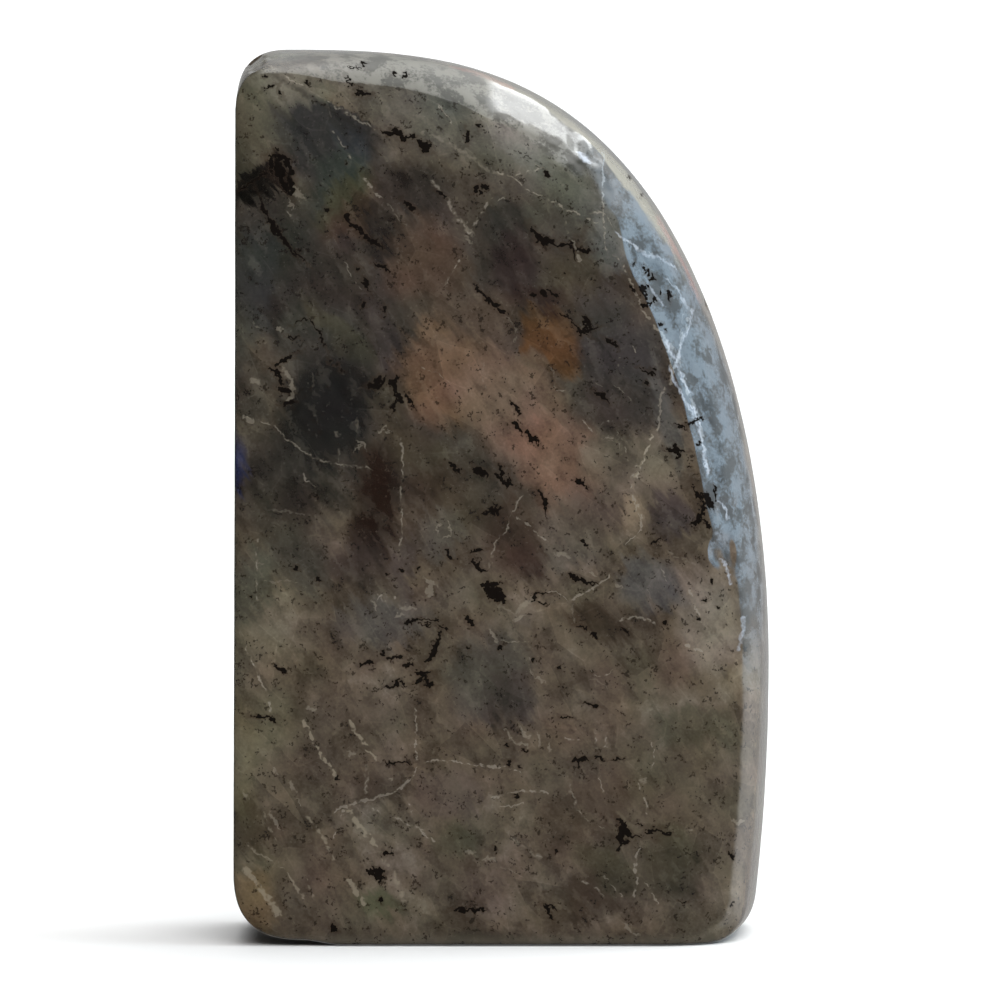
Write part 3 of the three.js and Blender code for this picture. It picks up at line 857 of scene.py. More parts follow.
VEINS = [
    ([(26.4, 89), (24.9, 85.6), (23.2, 81.4), (21.8, 77.8)], 0.55, 0.8),
    ([(-33.4, 39.8), (-32, 37.4), (-30.5, 34.4), (-27.8, 30.4), (-27.2, 28.9)], 0.9, 0.85),
    ([(-25.7, 39.9), (-24.3, 37.7), (-22.3, 35)], 1.0, 0.75),
    ([(-23, 34.6), (-21.2, 33.6), (-20.8, 32.4)], 0.6, 0.7),
    ([(-32.6, 23.6), (-30.6, 20.9), (-28.9, 18.5)], 1.2, 0.5),
    ([(-28.9, 18.5), (-28, 16.2), (-27, 14.5)], 1.4, 0.5),
    ([(-25.7, 13), (-24.3, 11), (-22.9, 8.2)], 1.5, 0.85),
    ([(-43, 15), (-42, 13.4), (-40.6, 11.4), (-38.6, 9), (-37.2, 6)], 1.9, 0.85),
    ([(-39.8, 24.4), (-38.6, 21), (-37, 18.6)], 0.7, 0.4),
    ([(-42.8, 18.6), (-39.5, 16.5), (-35.8, 14.2)], 0.5, 0.45),
    ([(-35.8, 14.2), (-34.1, 11.1), (-32.8, 9.1)], 0.7, 0.55), ([(-32.6, 13), (-31.4, 9.4)], 0.8, 0.4),
    ([(-25.6, 24.8), (-24.3, 22.5), (-22.2, 20), (-20.6, 17.8)], 1.4, 0.85),
    ([(-20.6, 17.8), (-18.5, 14.6), (-16.8, 11), (-15.8, 8)], 1.4, 0.45),
    ([(-43.2, 53.3), (-41.4, 48.9), (-39.9, 45)], 0.5, 0.4),
]
# painted glints: blue-white lines where edges of the bevel catch the light
GLINTS = [
    ([(18.8, 121.6), (20.8, 120.3), (23, 118.6), (24.9, 117.4), (27.2, 116.7), (29.4, 115.2),
      (30.2, 114.2)], 0.5, 0.35),
    ([(32.6, 108.5), (31.4, 104.4), (30.2, 101.7), (29.7, 99.4)], 0.4, 0.5),
    ([(28, 103.6), (28.6, 101.4), (29.7, 99.2), (30.9, 96.2), (32.4, 94)], 0.6, 0.5),
    ([(28.4, 99.4), (29.2, 96.6), (31.2, 93), (32.6, 90.4), (33.8, 86.6), (35, 80)], 0.6, 0.5),
    ([(28, 113.6), (30.4, 110.6), (31.6, 108.2)], 0.35, 0.35),
    ([(24.6, 112.8), (26.2, 110.6), (27.6, 108.6)], 0.5, 0.35),
    ([(32, 92.6), (33, 90.4), (33.6, 88.8)], 0.4, 0.7),
    ([(37, 66.5), (38.2, 64.4), (38.8, 61.8)], 0.6, 0.5),
    ([(36.4, 76.6), (38, 74.6), (38.4, 72.8)], 0.5, 0.5),
    ([(41.2, 57), (40.6, 53), (39.8, 50.6)], 0.7, 0.4),
    ([(13.4, 134.8), (14.4, 133.4), (15.2, 132.6)], 1.4, 0.8),
]
# painted shadows: dark lines beside the steps of some cracks
SHADOWS = [
    ([(-39.4, 148.4), (-35.4, 146.2), (-30.6, 143.3), (-26.4, 140.6), (-21.6, 137.8),
      (-18, 135.6)], 1.0, 0.6),
    ([(14.8, 135), (16.2, 130), (16.6, 125.4)], 1.0, 0.4),
    ([(31, 113), (32.4, 110.6), (33, 108.6)], 0.4, 0.8),
]
BLUSHES = [
    ([(26.4, 124.4), (28.6, 120), (30.9, 116), (33.1, 111.4), (34.3, 108.6)], 1.4, 0.6),
    ([(-9, 149.4), (-4, 147.9), (0, 146.2), (3, 144.6)], 1.2, 0.5),
]


# %% [markdown]
# ## Black ore, pale specks and a few rings
#
# Specks and threads of magnetite and ilmenite run through the stone. A thread is a thin ellipse
# between two points; round specks have one point and a radius.

# %% Threads: two ends and a width. Specks: x, z and a radius
THREADS = [
    ((-38.4, 134), (-36, 133.8), 0.9), ((-38.4, 133.6), (-38.2, 131.6), 0.7),
    ((-36.2, 134), (-34.9, 131), 0.9), ((-35.4, 131.4), (-35, 128), 0.8),
    ((-43.2, 128.8), (-39.4, 131.2), 0.4), ((-37.2, 130.8), (-35.8, 128.6), 1.0),
    ((-37.4, 132.6), (-36.4, 130.4), 1.6), ((-40.2, 127.2), (-38.6, 123), 0.4),
    ((-38.8, 123.6), (-36.8, 120.4), 0.6), ((-37, 120.8), (-34.6, 117.8), 0.5),
    ((-34.4, 118.4), (-32.4, 116.2), 0.4), ((-25.8, 124), (-25.2, 123.3), 0.8),
    ((-24.9, 122.6), (-22.9, 121.3), 0.6), ((-22.9, 121.2), (-20.2, 119), 0.8),
    ((-19.9, 138.3), (-18, 137.9), 0.6), ((-17.8, 138.3), (-16.2, 137.2), 0.8),
    ((-16.3, 137.2), (-14.4, 137.5), 0.6), ((-13.4, 136.2), (-11.8, 135.1), 1.1),
    ((-10.6, 128.2), (-9.4, 127.4), 0.4), ((-24, 144.7), (-22.2, 144.4), 0.8),
    ((-39.6, 145), (-37.6, 146.2), 0.4), ((-36.9, 145.6), (-36.5, 144.2), 0.5),
    ((-26, 147.6), (-24.6, 146), 0.4), ((-25.8, 149), (-23.4, 148.6), 0.35),
    ((-5.7, 138), (-5.4, 136.6), 0.6), ((-15.9, 126.3), (-14.4, 125.2), 0.8),
    ((-20.9, 116.2), (-19, 115), 0.6), ((-22.8, 113.4), (-22, 111.6), 0.5),
    ((5.6, 121.8), (7, 119.8), 1.0), ((6.8, 120.1), (9.4, 119.3), 0.9), ((9, 119.3), (11.6, 119.3), 0.5),
    ((11.4, 119.2), (13, 116.6), 0.4), ((13.2, 118.3), (14.8, 118.1), 0.7),
    ((-4.2, 112.4), (-2.4, 110.4), 0.7), ((-2.2, 110.2), (-0.2, 108.6), 0.8),
    ((-0.4, 108.6), (1.2, 107.8), 0.4), ((8.4, 111.6), (9.8, 110.6), 0.6),
    ((10, 107.8), (12.6, 106), 0.4), ((12.4, 106), (14.8, 104.2), 0.6), ((14, 107), (15, 105.6), 0.6),
    ((12.6, 104.6), (16, 105.2), 0.6), ((13.4, 103.8), (14.6, 105.6), 0.5),
    ((17.8, 103.2), (19.2, 102.4), 0.6), ((16, 94.6), (17.8, 93.2), 0.6), ((2, 92.6), (3.2, 91.2), 0.6),
    ((2.6, 89), (3.4, 88), 0.8), ((4.6, 88), (6, 86.2), 1.0), ((-0.6, 80.8), (2, 79), 0.8),
    ((0, 81.6), (1.2, 78.6), 0.7), ((1.4, 80.6), (1.2, 78.4), 0.6), ((-3.8, 81.4), (-2.2, 80.6), 0.8),
    ((-8.6, 82.6), (-7, 81.4), 0.8), ((-4, 81.8), (-2.4, 80.6), 0.5), ((-2.6, 74.4), (0, 75.2), 0.6),
    ((-1, 75.6), (-0.2, 73.8), 0.4), ((6.7, 78), (7.4, 76.2), 0.6), ((7.4, 76), (7.8, 73.6), 0.3),
    ((13, 79.8), (14.4, 78.8), 0.5), ((24, 98.4), (25.6, 97.6), 0.5), ((31.2, 89), (34, 89.8), 0.5),
    ((29.4, 89.2), (31.4, 88.2), 0.3), ((28.2, 85), (31, 84.9), 0.5), ((29.4, 85.6), (30, 83.6), 0.6),
    ((32.6, 78.4), (34, 76), 0.6), ((34, 77.4), (35.4, 75.6), 0.8), ((34.6, 75.6), (33.2, 73), 0.7),
    ((33.4, 73.2), (32.2, 72.4), 0.6), ((34.2, 73), (35.2, 71.8), 0.5), ((36, 78.4), (36.6, 76.6), 0.4),
    ((-37.8, 99), (-35, 100.6), 0.7), ((-38.6, 98.4), (-37.2, 98), 0.5),
    ((-37.8, 98), (-36.6, 95.8), 0.5), ((-36.8, 95.2), (-35.6, 94.6), 0.9),
    ((-36.4, 92.6), (-34.6, 92.8), 0.4), ((-32, 106.8), (-30.6, 105.2), 0.3),
    ((-30.8, 105.4), (-29.2, 102.2), 0.35), ((-34.2, 106), (-32, 106.8), 0.3),
    ((-35.4, 104), (-34, 103.6), 0.4), ((-21.6, 95.8), (-19.4, 96.8), 1.0),
    ((-18.4, 96), (-16.8, 97), 0.7), ((-17.8, 96), (-16.6, 92.6), 0.9), ((-17.4, 94), (-18.2, 91.4), 0.4),
    ((-16, 94.4), (-14.4, 91.8), 0.6), ((-17.4, 97.6), (-17.2, 94), 0.4), ((-9, 67.8), (-7.6, 66.4), 0.9),
    ((-5, 67.6), (-3, 68.2), 0.6), ((-4.2, 66), (-2.8, 64.4), 1.0), ((-2.6, 62), (0, 60), 1.8),
    ((-3.2, 62.4), (-0.6, 62.4), 0.8), ((-1.6, 61.6), (0.6, 59.8), 1.6),
    ((-5.6, 56.6), (-4.4, 55.2), 1.0), ((-9.8, 54.6), (-11, 52), 0.5),
    ((-10.8, 52.4), (-11.4, 50.4), 0.8), ((-10.8, 50.6), (-12.2, 49.8), 0.8),
    ((-10.4, 55.4), (-8.4, 54.4), 0.35), ((-15.6, 56), (-13.8, 56.2), 0.8),
    ((-13.6, 56.4), (-10.6, 56.2), 0.35), ((-13.6, 55.6), (-11.4, 55.4), 0.3),
    ((-18.8, 49.8), (-17, 49.8), 0.6), ((-23.6, 48.8), (-21.8, 49.2), 0.6),
    ((-16, 48.8), (-14.6, 48.8), 0.6), ((-19.2, 45), (-17.4, 45.8), 0.6),
    ((-13.8, 47.8), (-12, 47.6), 0.8), ((-14.2, 45.8), (-12.8, 47), 0.6),
    ((-12.4, 47.2), (-12, 45.4), 0.6), ((-12.6, 45.6), (-11, 45.4), 0.5),
    ((-16.4, 45.6), (-15.2, 45.2), 0.5), ((-41.4, 40.1), (-38.6, 40), 0.6),
    ((-39, 39.9), (-37.8, 39.2), 0.5), ((-19, 32.3), (-15.4, 32.3), 0.35),
    ((-37.6, 48.6), (-36.2, 47.8), 0.6), ((5.4, 60), (6.2, 60.8), 0.6), ((6.2, 60.9), (8.6, 60.8), 0.4),
    ((6.4, 59.6), (7.6, 59.2), 0.4), ((12.2, 63.8), (13.6, 62.9), 0.6), ((13.4, 63), (15.4, 62.4), 0.5),
    ((25.6, 69.2), (26.8, 70), 0.5), ((13.8, 69.6), (14.8, 68.6), 0.4), ((12.8, 55.4), (14.2, 55), 0.5),
    ((20.2, 55), (21.4, 54.2), 0.4), ((15.4, 54.2), (16.2, 53.4), 0.5), ((14, 42.4), (16.2, 42), 0.6),
    ((10.4, 40.2), (12.2, 39.8), 0.5), ((12.4, 33.1), (14.4, 33.1), 0.7), ((13.2, 33), (13.4, 31.6), 0.4),
    ((16, 33.1), (17.2, 33), 0.5), ((18.6, 33), (20.4, 33), 0.45), ((20.2, 22.4), (21.4, 20.6), 0.8),
    ((20.6, 20.4), (20, 18), 0.6), ((20, 19.4), (21.4, 19.2), 0.8), ((21.4, 22.4), (20.6, 20.6), 0.5),
    ((21.4, 20.2), (24, 19.8), 0.35), ((23, 22.2), (24.2, 22), 0.4), ((24.4, 20.4), (26.4, 21.2), 0.8),
    ((25.4, 21.2), (28.4, 20.4), 0.5), ((25, 20.8), (26, 19.8), 0.8), ((-19.6, 17), (-18, 17), 0.5),
    ((-22.2, 14.2), (-20.2, 13.8), 1.0), ((-21.4, 13.6), (-20.4, 12.9), 0.7),
    ((-7.6, 7.4), (-3, 7.4), 0.5), ((7.4, 8.4), (8.6, 6.4), 0.6), ((7.4, 8.2), (9.6, 7.8), 0.4),
    ((38.8, 16.8), (39.4, 15.8), 0.5), ((30.4, 8.9), (31.4, 8.8), 0.4), ((21.8, 112.4), (23, 111.4), 0.5),
    ((23.6, 112), (24.6, 110.6), 0.7), ((23.6, 109), (25.2, 109.4), 0.7),
    ((28.2, 111.4), (28.4, 110), 0.5),
]
SPECKS = [
    (-37.5, 135.4, 0.4), (-22.9, 149.4, 0.35), (-17.8, 147.7, 0.4), (-16, 147.5, 0.4),
    (-32.4, 146.6, 0.35), (-3.4, 139.1, 0.45), (-39.4, 147.6, 0.3), (-29.2, 125, 0.5), (-4, 128.5, 0.5),
    (-2.6, 129, 0.5), (-3, 128, 0.35), (-25.8, 133, 0.2), (-23.6, 115.4, 0.4), (-22.9, 109.4, 0.4),
    (-19.3, 108.9, 0.5), (-19.6, 107.6, 0.3), (-28.6, 99.8, 0.35), (-27.2, 99, 0.3), (-26.4, 98, 0.3),
    (11.1, 114.5, 0.4), (7.2, 111.2, 0.5), (7.8, 131, 0.4), (5.5, 110.8, 0.4), (18.8, 102.8, 0.4),
    (24.6, 95.9, 0.4), (24.5, 98.3, 0.35), (27, 111.2, 0.3), (28.2, 110.3, 0.3), (25.6, 113.7, 0.32),
    (24.2, 115.3, 0.35), (24.6, 112, 0.3), (26.8, 106.1, 0.35), (27.9, 104.8, 0.3), (22.4, 116.4, 0.3),
    (24.8, 114.6, 0.35), (26, 110, 0.3), (22, 130.4, 0.35), (24, 127.3, 0.35), (13.4, 79.4, 0.3),
    (33.2, 86, 0.3), (31.8, 81.8, 0.35), (25.8, 98.6, 0.3), (26, 69.4, 0.3), (35.6, 62.6, 0.3),
    (34.4, 59.4, 0.3), (36.6, 58.2, 0.3), (33, 56.4, 0.3), (27.5, 56.2, 0.45), (-5.4, 51.6, 0.3),
    (-19.8, 50.6, 0.3), (0.2, 51.8, 0.4), (5.4, 49.5, 0.35), (9.8, 48.4, 0.3), (-34.2, 65, 0.4),
    (-30.6, 63.2, 0.35), (-30.8, 77.2, 0.25), (-22.6, 74, 0.25), (-19, 63.9, 0.25), (-16.6, 64.8, 0.3),
    (-13.6, 64.6, 0.3), (-41.8, 60.2, 0.25), (1.5, 32.3, 0.5), (3.6, 31.4, 0.3), (2.9, 26.6, 0.55),
    (0.8, 35.4, 0.3), (4.2, 34.4, 0.35), (-27.2, 30, 0.4), (-20, 9.2, 0.4), (-28, 4.6, 0.5),
    (9.2, 17.4, 0.3), (39.3, 16.4, 0.3), (19, 33, 0.3), (-1, 17.8, 0.3), (39, 8, 0.2),
]
PALE = [
    ((-19.9, 88.5), (-19.1, 88.9), 0.35), ((-20.3, 88), (-19.5, 88.2), 0.4),
    ((-19.2, 87.4), (-18.9, 87.7), 0.35), ((-18.8, 88.1), (-18.4, 88.1), 0.3),
    ((-37.2, 105.1), (-36.7, 105.1), 0.7), ((-34.6, 128.6), (-33.4, 127.2), 1.1),
    ((-35.8, 124.8), (-35, 124.4), 0.5), ((-35.2, 126.4), (-34.6, 125.4), 0.5),
    ((-41.8, 96.8), (-40.8, 96.2), 0.9), ((-42.8, 90.4), (-41.4, 89.6), 0.6),
    ((-36.4, 98.6), (-34.9, 96.6), 0.7), ((-34.9, 96.8), (-34.8, 94.2), 0.7),
    ((-35, 94), (-36, 92.9), 0.6), ((-24, 86.8), (-22.6, 85.2), 0.5), ((-24.4, 84.8), (-23.4, 85.6), 0.4),
    ((-12.6, 63.6), (-11.4, 62.4), 0.9), ((-11.9, 62), (-12, 60.6), 0.8),
    ((-16.6, 58.4), (-14.4, 57.9), 0.8), ((-17.4, 57), (-16.4, 57.6), 0.5),
    ((-20.2, 60.4), (-19, 59.4), 0.6), ((-21.4, 59.4), (-20.8, 58.4), 0.5),
    ((-10.6, 72.2), (-9.9, 72.6), 0.5), ((-10.9, 71.8), (-10.5, 70.6), 0.4),
    ((-9.6, 70), (-8.4, 70.6), 0.4), ((-8.2, 71), (-8.4, 72.4), 0.4), ((2.6, 57.6), (5.4, 60), 1.2),
    ((-0.4, 58.8), (2.4, 57.4), 0.9), ((2.4, 56.4), (4, 57), 0.6), ((19.6, 62.3), (20.4, 61.5), 0.5),
    ((-1.8, 54.6), (-0.6, 53), 0.5), ((4.6, 49.9), (5.2, 49.5), 0.6), ((5, 47.8), (5.8, 47), 0.5),
    ((6, 46.6), (7.6, 45.8), 0.6), ((9.6, 67.6), (11.4, 67), 0.8), ((15.2, 64.2), (16, 63.8), 0.4),
    ((-38, 31.6), (-37.5, 30.8), 0.7), ((-42.9, 27.2), (-42.6, 26.8), 0.9),
    ((-35.4, 29), (-34.4, 27.6), 0.6), ((-18.6, 29.7), (-18.3, 29.8), 0.5),
    ((-32.2, 41.6), (-31.2, 41.4), 0.7), ((-25.4, 34), (-24.6, 33.8), 0.7),
    ((-5.4, 17.6), (-4.4, 17.4), 0.8), ((-2.4, 16.2), (-1.2, 16.4), 0.7), ((-34, 26), (-33.4, 25), 0.3),
    ((21, 5), (22, 4.2), 0.8), ((22.4, 3.9), (23.2, 3.4), 0.7), ((23.7, 29.8), (24.1, 29), 0.9),
    ((39.2, 22.2), (41, 22), 0.7), ((-1.8, 16.4), (-1.2, 15.8), 0.6), ((-38.6, 24), (-38, 22.6), 0.6),
    ((-37.8, 22.4), (-37.2, 21), 0.5), ((31.8, 21), (32.4, 20.8), 0.5),
    ((-5.6, 122.6), (-4.8, 121.2), 0.8), ((-5.8, 120.6), (-5, 119.8), 0.8), ((2.2, 36), (5, 35.2), 0.6),
    ((1.2, 37.6), (2.2, 36.2), 0.4), ((3.6, 38), (4.6, 36.8), 0.5), ((6.4, 37), (6.8, 35), 0.5),
    ((8.2, 35.6), (8.6, 34.2), 0.4),
]


def thread_shape(start, end, wide):
    """The thin ellipse between two points."""
    (x0, z0), (x1, z1) = start, end
    long = math.hypot(x1 - x0, z1 - z0) / 2 + wide / 2
    return ((x0 + x1) / 2, (z0 + z1) / 2), long, wide / 2, math.degrees(math.atan2(z1 - z0, x1 - x0))


ORE_SHAPES = [thread_shape(*thread) for thread in THREADS]
ORE_SHAPES += [((x, z), radius, radius, 0) for x, z, radius in SPECKS]
PALE_SHAPES = [thread_shape(*mark) for mark in PALE]
print(len(ORE_SHAPES), "grains of ore and", len(PALE_SHAPES), "pale specks")

# %% [markdown]
# ## Specks that nobody placed
#
# Between the listed marks lie many small pits and dots. Voronoi cells give one to each cell, and noise
# leaves most of them out.

# %% Pits and dots all over the stone
pits = cells(ragged, 2.4, "F1", "Distance")
pit = recipe.fade(pits + (haze - 0.5) * 0.8 + (grain - 0.5) * 1.6, 0.03, -0.03)
dot = recipe.fade(recipe.fade(abs(pits - 0.35), 0.12, 0.0) * recipe.fade(grain, 0.55, 0.7), 0.3, 0.9)
breaks = recipe.fade(recipe.noise(place, 1.1, 1.0, 0.6), 0.35, 0.58)

# %% [markdown]
# ## The rest of the stone
#
# The listed marks belong to the front face. Behind it, broad noise picks among the same colours, and
# the two are blended a little way behind the front, where the sides begin.

# %% Colours of the sides and the back
broad = recipe.noise(drifted, 30.0, 1.0, 0.55)
BACK_STOPS = [(0.3, paint(34, 35, 38)), (0.4, paint(54, 53, 48)), (0.47, paint(84, 77, 66)),
              (0.55, paint(90, 83, 72)), (0.62, paint(92, 74, 60)), (0.7, paint(62, 53, 47))]
elsewhere = recipe.node("ValToRGB", {"stops": BACK_STOPS}, {"Fac": broad}, "Color")
elsewhere = recipe.mix(elsewhere, ground, 0.35)

# %% [markdown]
# ## Gloss
#
# Polished feldspar bends light a little more than glass. The polish is finer in some places than in
# others, which the roughness says, and it has faint ripples, which the bump says. The ground bevel is
# mottled grey on the left and blue grey on the right: its own mottles, with painted sheen that makes
# it paler than the front and blue on the right. Where it turns away most it has a pale crust, which is
# partly a painted highlight, and it is worn duller at its left end and in its dark mottles. All bands
# of the front share the values that are worked out here, so that none is worked out twice.

# %% The finished surface for a given colour
ripples = recipe.noise(place, 1.5, 0.0)
bump = recipe.node("Bump", {}, {"Strength": 0.2, "Distance": 0.3 * MM, "Height": ripples}, "Normal")
lightly = recipe.vector("MULTIPLY_ADD", recipe.vector("SUBTRACT", ragged, place), (0.6,) * 3, place)
(soft_x, soft_z), (spot_x, spot_z), (line_x, line_z) = flat(feather), flat(ragged), flat(lightly)
# The bevel's own grey mottles, with painted sheen: paler than the front, and blue grey on the right.
rim_pale_sheen = recipe.mix(paint(122, 122, 116), paint(92, 108, 124), recipe.fade(right, 6, 24))
rim_dark = recipe.mix(paint(66, 66, 60), paint(34, 43, 50), recipe.fade(right, 6, 24))
mottle = recipe.fade(haze * 0.5 + smudge * 0.3 + grain * 0.2, 0.43, 0.56)
rim_colour = recipe.mix(rim_dark, rim_pale_sheen, mottle)
# A pale crust where the bevel turns away most, partly a painted highlight.
crust_and_highlight = recipe.fade(tilt + (haze - 0.5) * 0.3, 0.56, 0.42)
crust_and_highlight = crust_and_highlight * recipe.fade(right, -4, 0) * recipe.fade(right, 33, 26)
rim_colour = recipe.mix(rim_colour, paint(150, 148, 137), crust_and_highlight)
worn_left = recipe.fade(right, 0.0, -3.0) * 0.45
worn_right = recipe.fade(right, 12, 18) * (1 - mottle) * 0.25
wear = rim * (worn_left + worn_right)
stone_values = {
    "ground": ground, "elsewhere": elsewhere, "on_front": on_front, "soft_x": soft_x, "soft_z": soft_z,
    "spot_x": spot_x, "spot_z": spot_z, "line_x": line_x, "line_z": line_z,
    "shade": shade, "pit": pit, "haze": haze, "breaks": breaks,
    # painted light: the lowest 4 mm are paled, as if lit by light bouncing off the floor
    "dust": recipe.fade(up, 4.0, 1.0) * 0.5,
    "milk": pale_smudge * 0.08 + dot * 0.12 + crackle * 0.03, "crackle": crackle, "bump": bump,
    "rim": rim, "rim_colour": rim_colour, "wear": wear, "tear": (haze - 0.5) * 3 + (grain - 0.5) * 2}


def textured(colour, at):
    """Clouds, smudges, cleavage planes, dots, pits and painted floor light at the base, over a colour."""
    colour = recipe.vector("MULTIPLY", colour, at.shade)
    # milky specks, and the painted floor light along the base
    colour = recipe.mix(colour, paint(126, 121, 110), at.milk + at.dust)
    return recipe.mix(colour, paint(30, 25, 20), at.pit * 0.7)


def polished(colour, rough, at):
    """The polish over a colour."""
    colour = recipe.vector("MULTIPLY", colour, (0.96, 0.93, 0.885))
    return recipe.node("BsdfPrincipled", {}, {
        "Base Color": colour, "Roughness": rough, "IOR": 1.56, "Normal": at.bump}, "BSDF")


def dull_ore(at):
    """Black ore in a pit that the polish didn't reach."""
    return recipe.node("BsdfDiffuse", {}, {"Color": paint(17, 14, 12), "Normal": at.bump}, "BSDF")


# %% [markdown]
# ## One shader for each band of the front
#
# Several hundred marks would make every point of the stone slow to work out. The front is therefore
# cut into level bands. Each band has its own shader, with only the marks that touch it, and Blender
# skips the shaders that a Mix Shader doesn't need.

# %% Bands
BANDS = [-5, 12, 22, 32, 42, 52, 62, 72, 82, 92, 102, 112, 122, 132, 160]


def touching(band, rows, span):
    """The rows whose span of heights meets the band."""
    return [row for row in rows if span(row)[0] < band[1] and span(row)[1] > band[0]]


def line_span(row):
    heights = [z for _, z in row[0]]
    return min(heights) - 1.5, max(heights) + 1.5


def band_shader(band):
    """The polished stone with the marks of one band."""
    patches = touching(band, PATCHES, lambda row: rise(row[1:5], 4.0))
    cracks = touching(band, CRACKS, line_span)
    veins = touching(band, VEINS, line_span)
    glints = touching(band, GLINTS, line_span)
    shadows = touching(band, SHADOWS, line_span)
    blushes = touching(band, BLUSHES, line_span)
    pale = touching(band, PALE_SHAPES, lambda shape: rise(shape, 1.2))
    ore = touching(band, ORE_SHAPES, lambda shape: rise(shape, 1.2))

    def build(at):
        spot, line = (at.spot_x, at.spot_z), (at.line_x, at.line_z)
        colour = lay_patches(at.ground, (at.soft_x, at.soft_z), spot, patches)
        colour = textured(recipe.mix(at.elsewhere, colour, at.on_front), at)
        # the bevel's colour, with its painted sheen and highlight
        colour = recipe.mix(colour, at.rim_colour, at.rim * 0.8)
        # cracks on the bevel are painted paler and bluer, like its sheen
        crack_colour = recipe.mix(paint(142, 135, 122), paint(176, 188, 200), at.rim)
        crack_share = recipe.fade(strongest_line(line, cracks) * (0.35 + at.breaks), 0.12, 0.8) * at.on_front
        vein_share = recipe.fade(strongest_line(line, veins) * (0.3 + at.breaks), 0.15, 0.8) * at.on_front
        glint_share = strongest_line(line, glints) * (0.5 + 0.5 * at.breaks) * at.on_front
        pale_share = recipe.fade(nearest(spot, pale) + at.tear, 1.5, 0.2) * at.on_front
        ore_near = nearest(spot, ore)
        ore_share = recipe.fade(ore_near + at.tear, 1.3, 0.9) * at.on_front
        # painted shadows beside crack steps
        colour = recipe.mix(colour, paint(34, 31, 27), strongest_line(line, shadows) * at.on_front * 0.6)
        colour = recipe.mix(colour, crack_colour, crack_share * 0.4)
        colour = recipe.mix(colour, paint(150, 142, 126), vein_share * 0.55)
        colour = recipe.mix(colour, paint(150, 143, 130), pale_share * 0.36)
        # painted glints
        colour = recipe.mix(colour, paint(205, 218, 238), glint_share * 0.9)
        colour = recipe.mix(colour, paint(164, 122, 114), strongest_line(line, blushes) * at.on_front)
        colour = recipe.mix(colour, paint(52, 41, 32), recipe.fade(ore_near, 6, 1) * at.on_front * 0.4)
        rough = 0.1 + at.haze * 0.1 + crack_share * 0.15 + at.wear
        shaders = {0: ore_share * 0.98, 1: polished(colour, rough, at), 2: dull_ore(at)}
        return recipe.node("MixShader", {}, shaders)

    return recipe.group(f"front from {band[0]} to {band[1]} mm", stone_values, build)


def stacked(edges):
    """The shaders of several bands, with a Mix Shader at each edge between two of them."""
    if len(edges) == 2:
        return band_shader(edges)
    middle = len(edges) // 2
    lower, upper = stacked(edges[:middle + 1]), stacked(edges[middle:])
    above = recipe.math("GREATER_THAN", up, edges[middle])
    return recipe.node("MixShader", {}, {0: above, 1: lower, 2: upper})


front = stacked(BANDS)
everywhere = SimpleNamespace(**stone_values)
behind = polished(textured(elsewhere, everywhere), 0.1 + haze * 0.1, everywhere)
is_behind = recipe.math("GREATER_THAN", face, FRONT_ENDS[1] + 0.5)
shine = recipe.node("MixShader", {}, {0: is_behind, 1: front, 2: behind})
recipe.tree.links.new(shine.socket, recipe.tree.nodes.new("ShaderNodeOutputMaterial").inputs["Surface"])
mesh.materials.append(feldspar)
print(len(recipe.tree.nodes), "nodes in the material and",
      sum(len(group.nodes) for group in bpy.data.node_groups), "in its groups")

# %% [markdown]
# ## Camera
#
# The camera stands far off with a long lens, a little above the middle of the stone, so that the
# straight sides stay nearly parallel. It aims half a millimetre left of the middle.

# %% Camera
CAMERA_DISTANCE = 1.5
CAMERA_HEIGHT_ANGLE = math.radians(4)
FRAME_WIDTH = 0.16995
SENSOR_WIDTH = 36
aim = Vector((-0.0005, 0, 0.07386))
camera = bpy.data.objects.new("camera", bpy.data.cameras.new("camera"))
bpy.context.collection.objects.link(camera)
backwards = Vector((0, -math.cos(CAMERA_HEIGHT_ANGLE), math.sin(CAMERA_HEIGHT_ANGLE)))
camera.location = aim + CAMERA_DISTANCE * backwards
camera.rotation_euler = (math.pi / 2 - CAMERA_HEIGHT_ANGLE, 0, 0)
camera.data.sensor_width = SENSOR_WIDTH
camera.data.lens = SENSOR_WIDTH * CAMERA_DISTANCE / FRAME_WIDTH
bpy.context.scene.camera = camera
print("the lens is", round(camera.data.lens), "mm")

# %% [markdown]
# ## Lamps
#
# A polished stone shows its light twice: once as daylight that brings out the colours, and once as a
# reflection on the gloss. One lamp could do both, but then neither could be set by itself. Here a
# wide, soft sun gives the daylight and no reflection. A long window lamp above and behind the right
# shoulder does the opposite: it lights no colour, and is only seen as the bright streak where the
# bevel turns over the shoulder. It is rolled about its own aim so that the streak follows the edge.

# %% Lamps
def aimed(name, light, direction, distance, roll=0.0):
    """A lamp out along a direction from the stone, turned to face it. The camera doesn't see it."""
    lamp = bpy.data.objects.new(name, light)
    bpy.context.collection.objects.link(lamp)
    lamp.location = aim + Vector(direction).normalized() * distance
    facing = (-Vector(direction)).to_track_quat("-Z", "Y")
    lamp.rotation_euler = (facing @ Quaternion((0, 0, 1), roll)).to_euler()
    lamp.visible_camera = False
    return lamp


def panel(name, direction, distance, wide, tall, radiance, colour, roll=0.0):
    """A soft box. Its power follows from its size and how bright its face should look."""
    light = bpy.data.lights.new(name, "AREA")
    light.shape = "RECTANGLE"
    light.size, light.size_y = wide, tall
    light.energy = math.pi * wide * tall * radiance
    light.color = colour
    return aimed(name, light, direction, distance, roll)


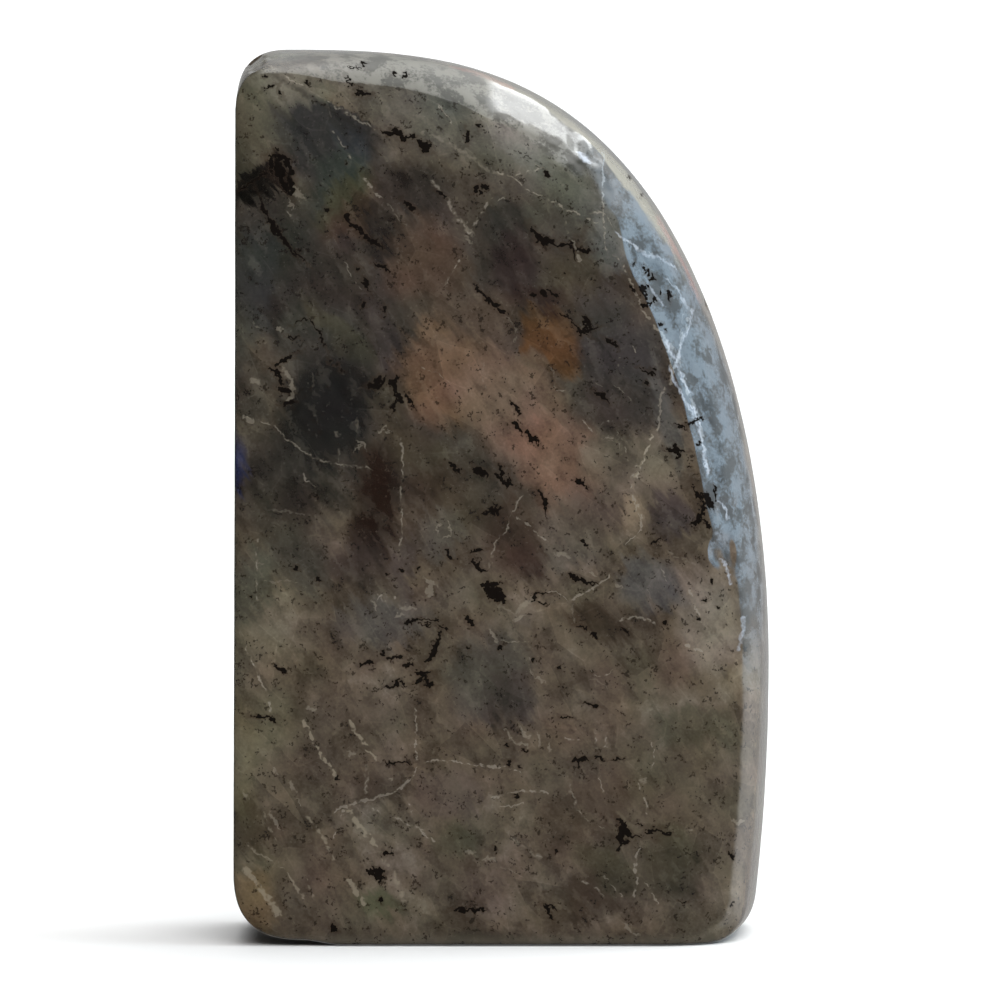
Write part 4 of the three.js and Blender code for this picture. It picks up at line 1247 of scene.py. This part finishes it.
LAMP_DISTANCE, WINDOW_ROLL = 2.0, math.radians(-27)
daylight = bpy.data.lights.new("daylight", "SUN")
daylight.energy = 1.6
daylight.angle = math.radians(50)
sun = aimed("daylight", daylight, (0.05, -0.62, 0.8), LAMP_DISTANCE)
sun.visible_glossy = False
window = panel("window", (0.37, 0.3, 0.87), LAMP_DISTANCE, 1.7, 0.5, 7, (0.96, 0.99, 1), WINDOW_ROLL)
window.visible_diffuse = False
print("the window lamp gives", round(window.data.energy, 1), "W")

# %% [markdown]
# ## Floor and surroundings
#
# The floor is a wide white sheet, which the gloss doesn't mirror. What the gloss mirrors, apart from
# the window lamp, is the world: dark on the camera's side and on the left, pale on the right and
# overhead, and dimmer again behind the stone. So the front stays dark and deep, and the bevel turns
# blue grey. The sky is drawn as fades over the direction in which one looks: `across` to the right,
# `away` to the back and `above`.

# %% Floor and surroundings
FLOOR_REACH = 20
floor = bpy.data.meshes.new("floor")
corners = [(x * FLOOR_REACH, y * FLOOR_REACH, 0) for x, y in ((-1, -1), (1, -1), (1, 1), (-1, 1))]
floor.from_pydata(corners, [], [(0, 1, 2, 3)])
floor_object = bpy.data.objects.new("floor", floor)
bpy.context.collection.objects.link(floor_object)
floor_object.visible_glossy = False
paper = bpy.data.materials.new("white_paper")
paper.use_nodes = True
sheet = paper.node_tree.nodes["Principled BSDF"].inputs
sheet["Base Color"].default_value = (0.92, 0.92, 0.92, 1)
sheet["Roughness"].default_value = 0.95
floor.materials.append(paper)

world = bpy.data.worlds.new("studio")
bpy.context.scene.world = world
world.use_nodes = True
dome = Recipe(world.node_tree)
across, away, above = dome.parts(dome.node("TexCoord", {}, {}, "Generated"))
glow = dome.fade(away, -0.45, -0.17) * (1 - 0.8 * dome.fade(away, 0.0, 1.0))
glow = glow * dome.fade(across, -0.35, -0.02) * dome.fade(above, -0.6, -0.1)
glow = glow * (0.74 + 0.26 * dome.fade(above, 0.0, 0.6))
bluish = dome.fade(glow, 0.0, 0.3) * dome.fade(above, 0.8, 0.45) * dome.fade(above, -0.08, 0.12)
bluish = bluish * (1 - 0.7 * dome.fade(away, -0.1, 0.5))
tint = dome.mix((1, 1, 0.99, 1), (0.72, 0.89, 1, 1), bluish)
sky = dome.node("Background", {}, {"Color": tint, "Strength": 0.04 + 3.4 * glow}, "Background")
dome.tree.links.new(sky.socket, dome.tree.nodes.new("ShaderNodeOutputWorld").inputs["Surface"])
bpy.context.scene.view_settings.view_transform = "Standard"
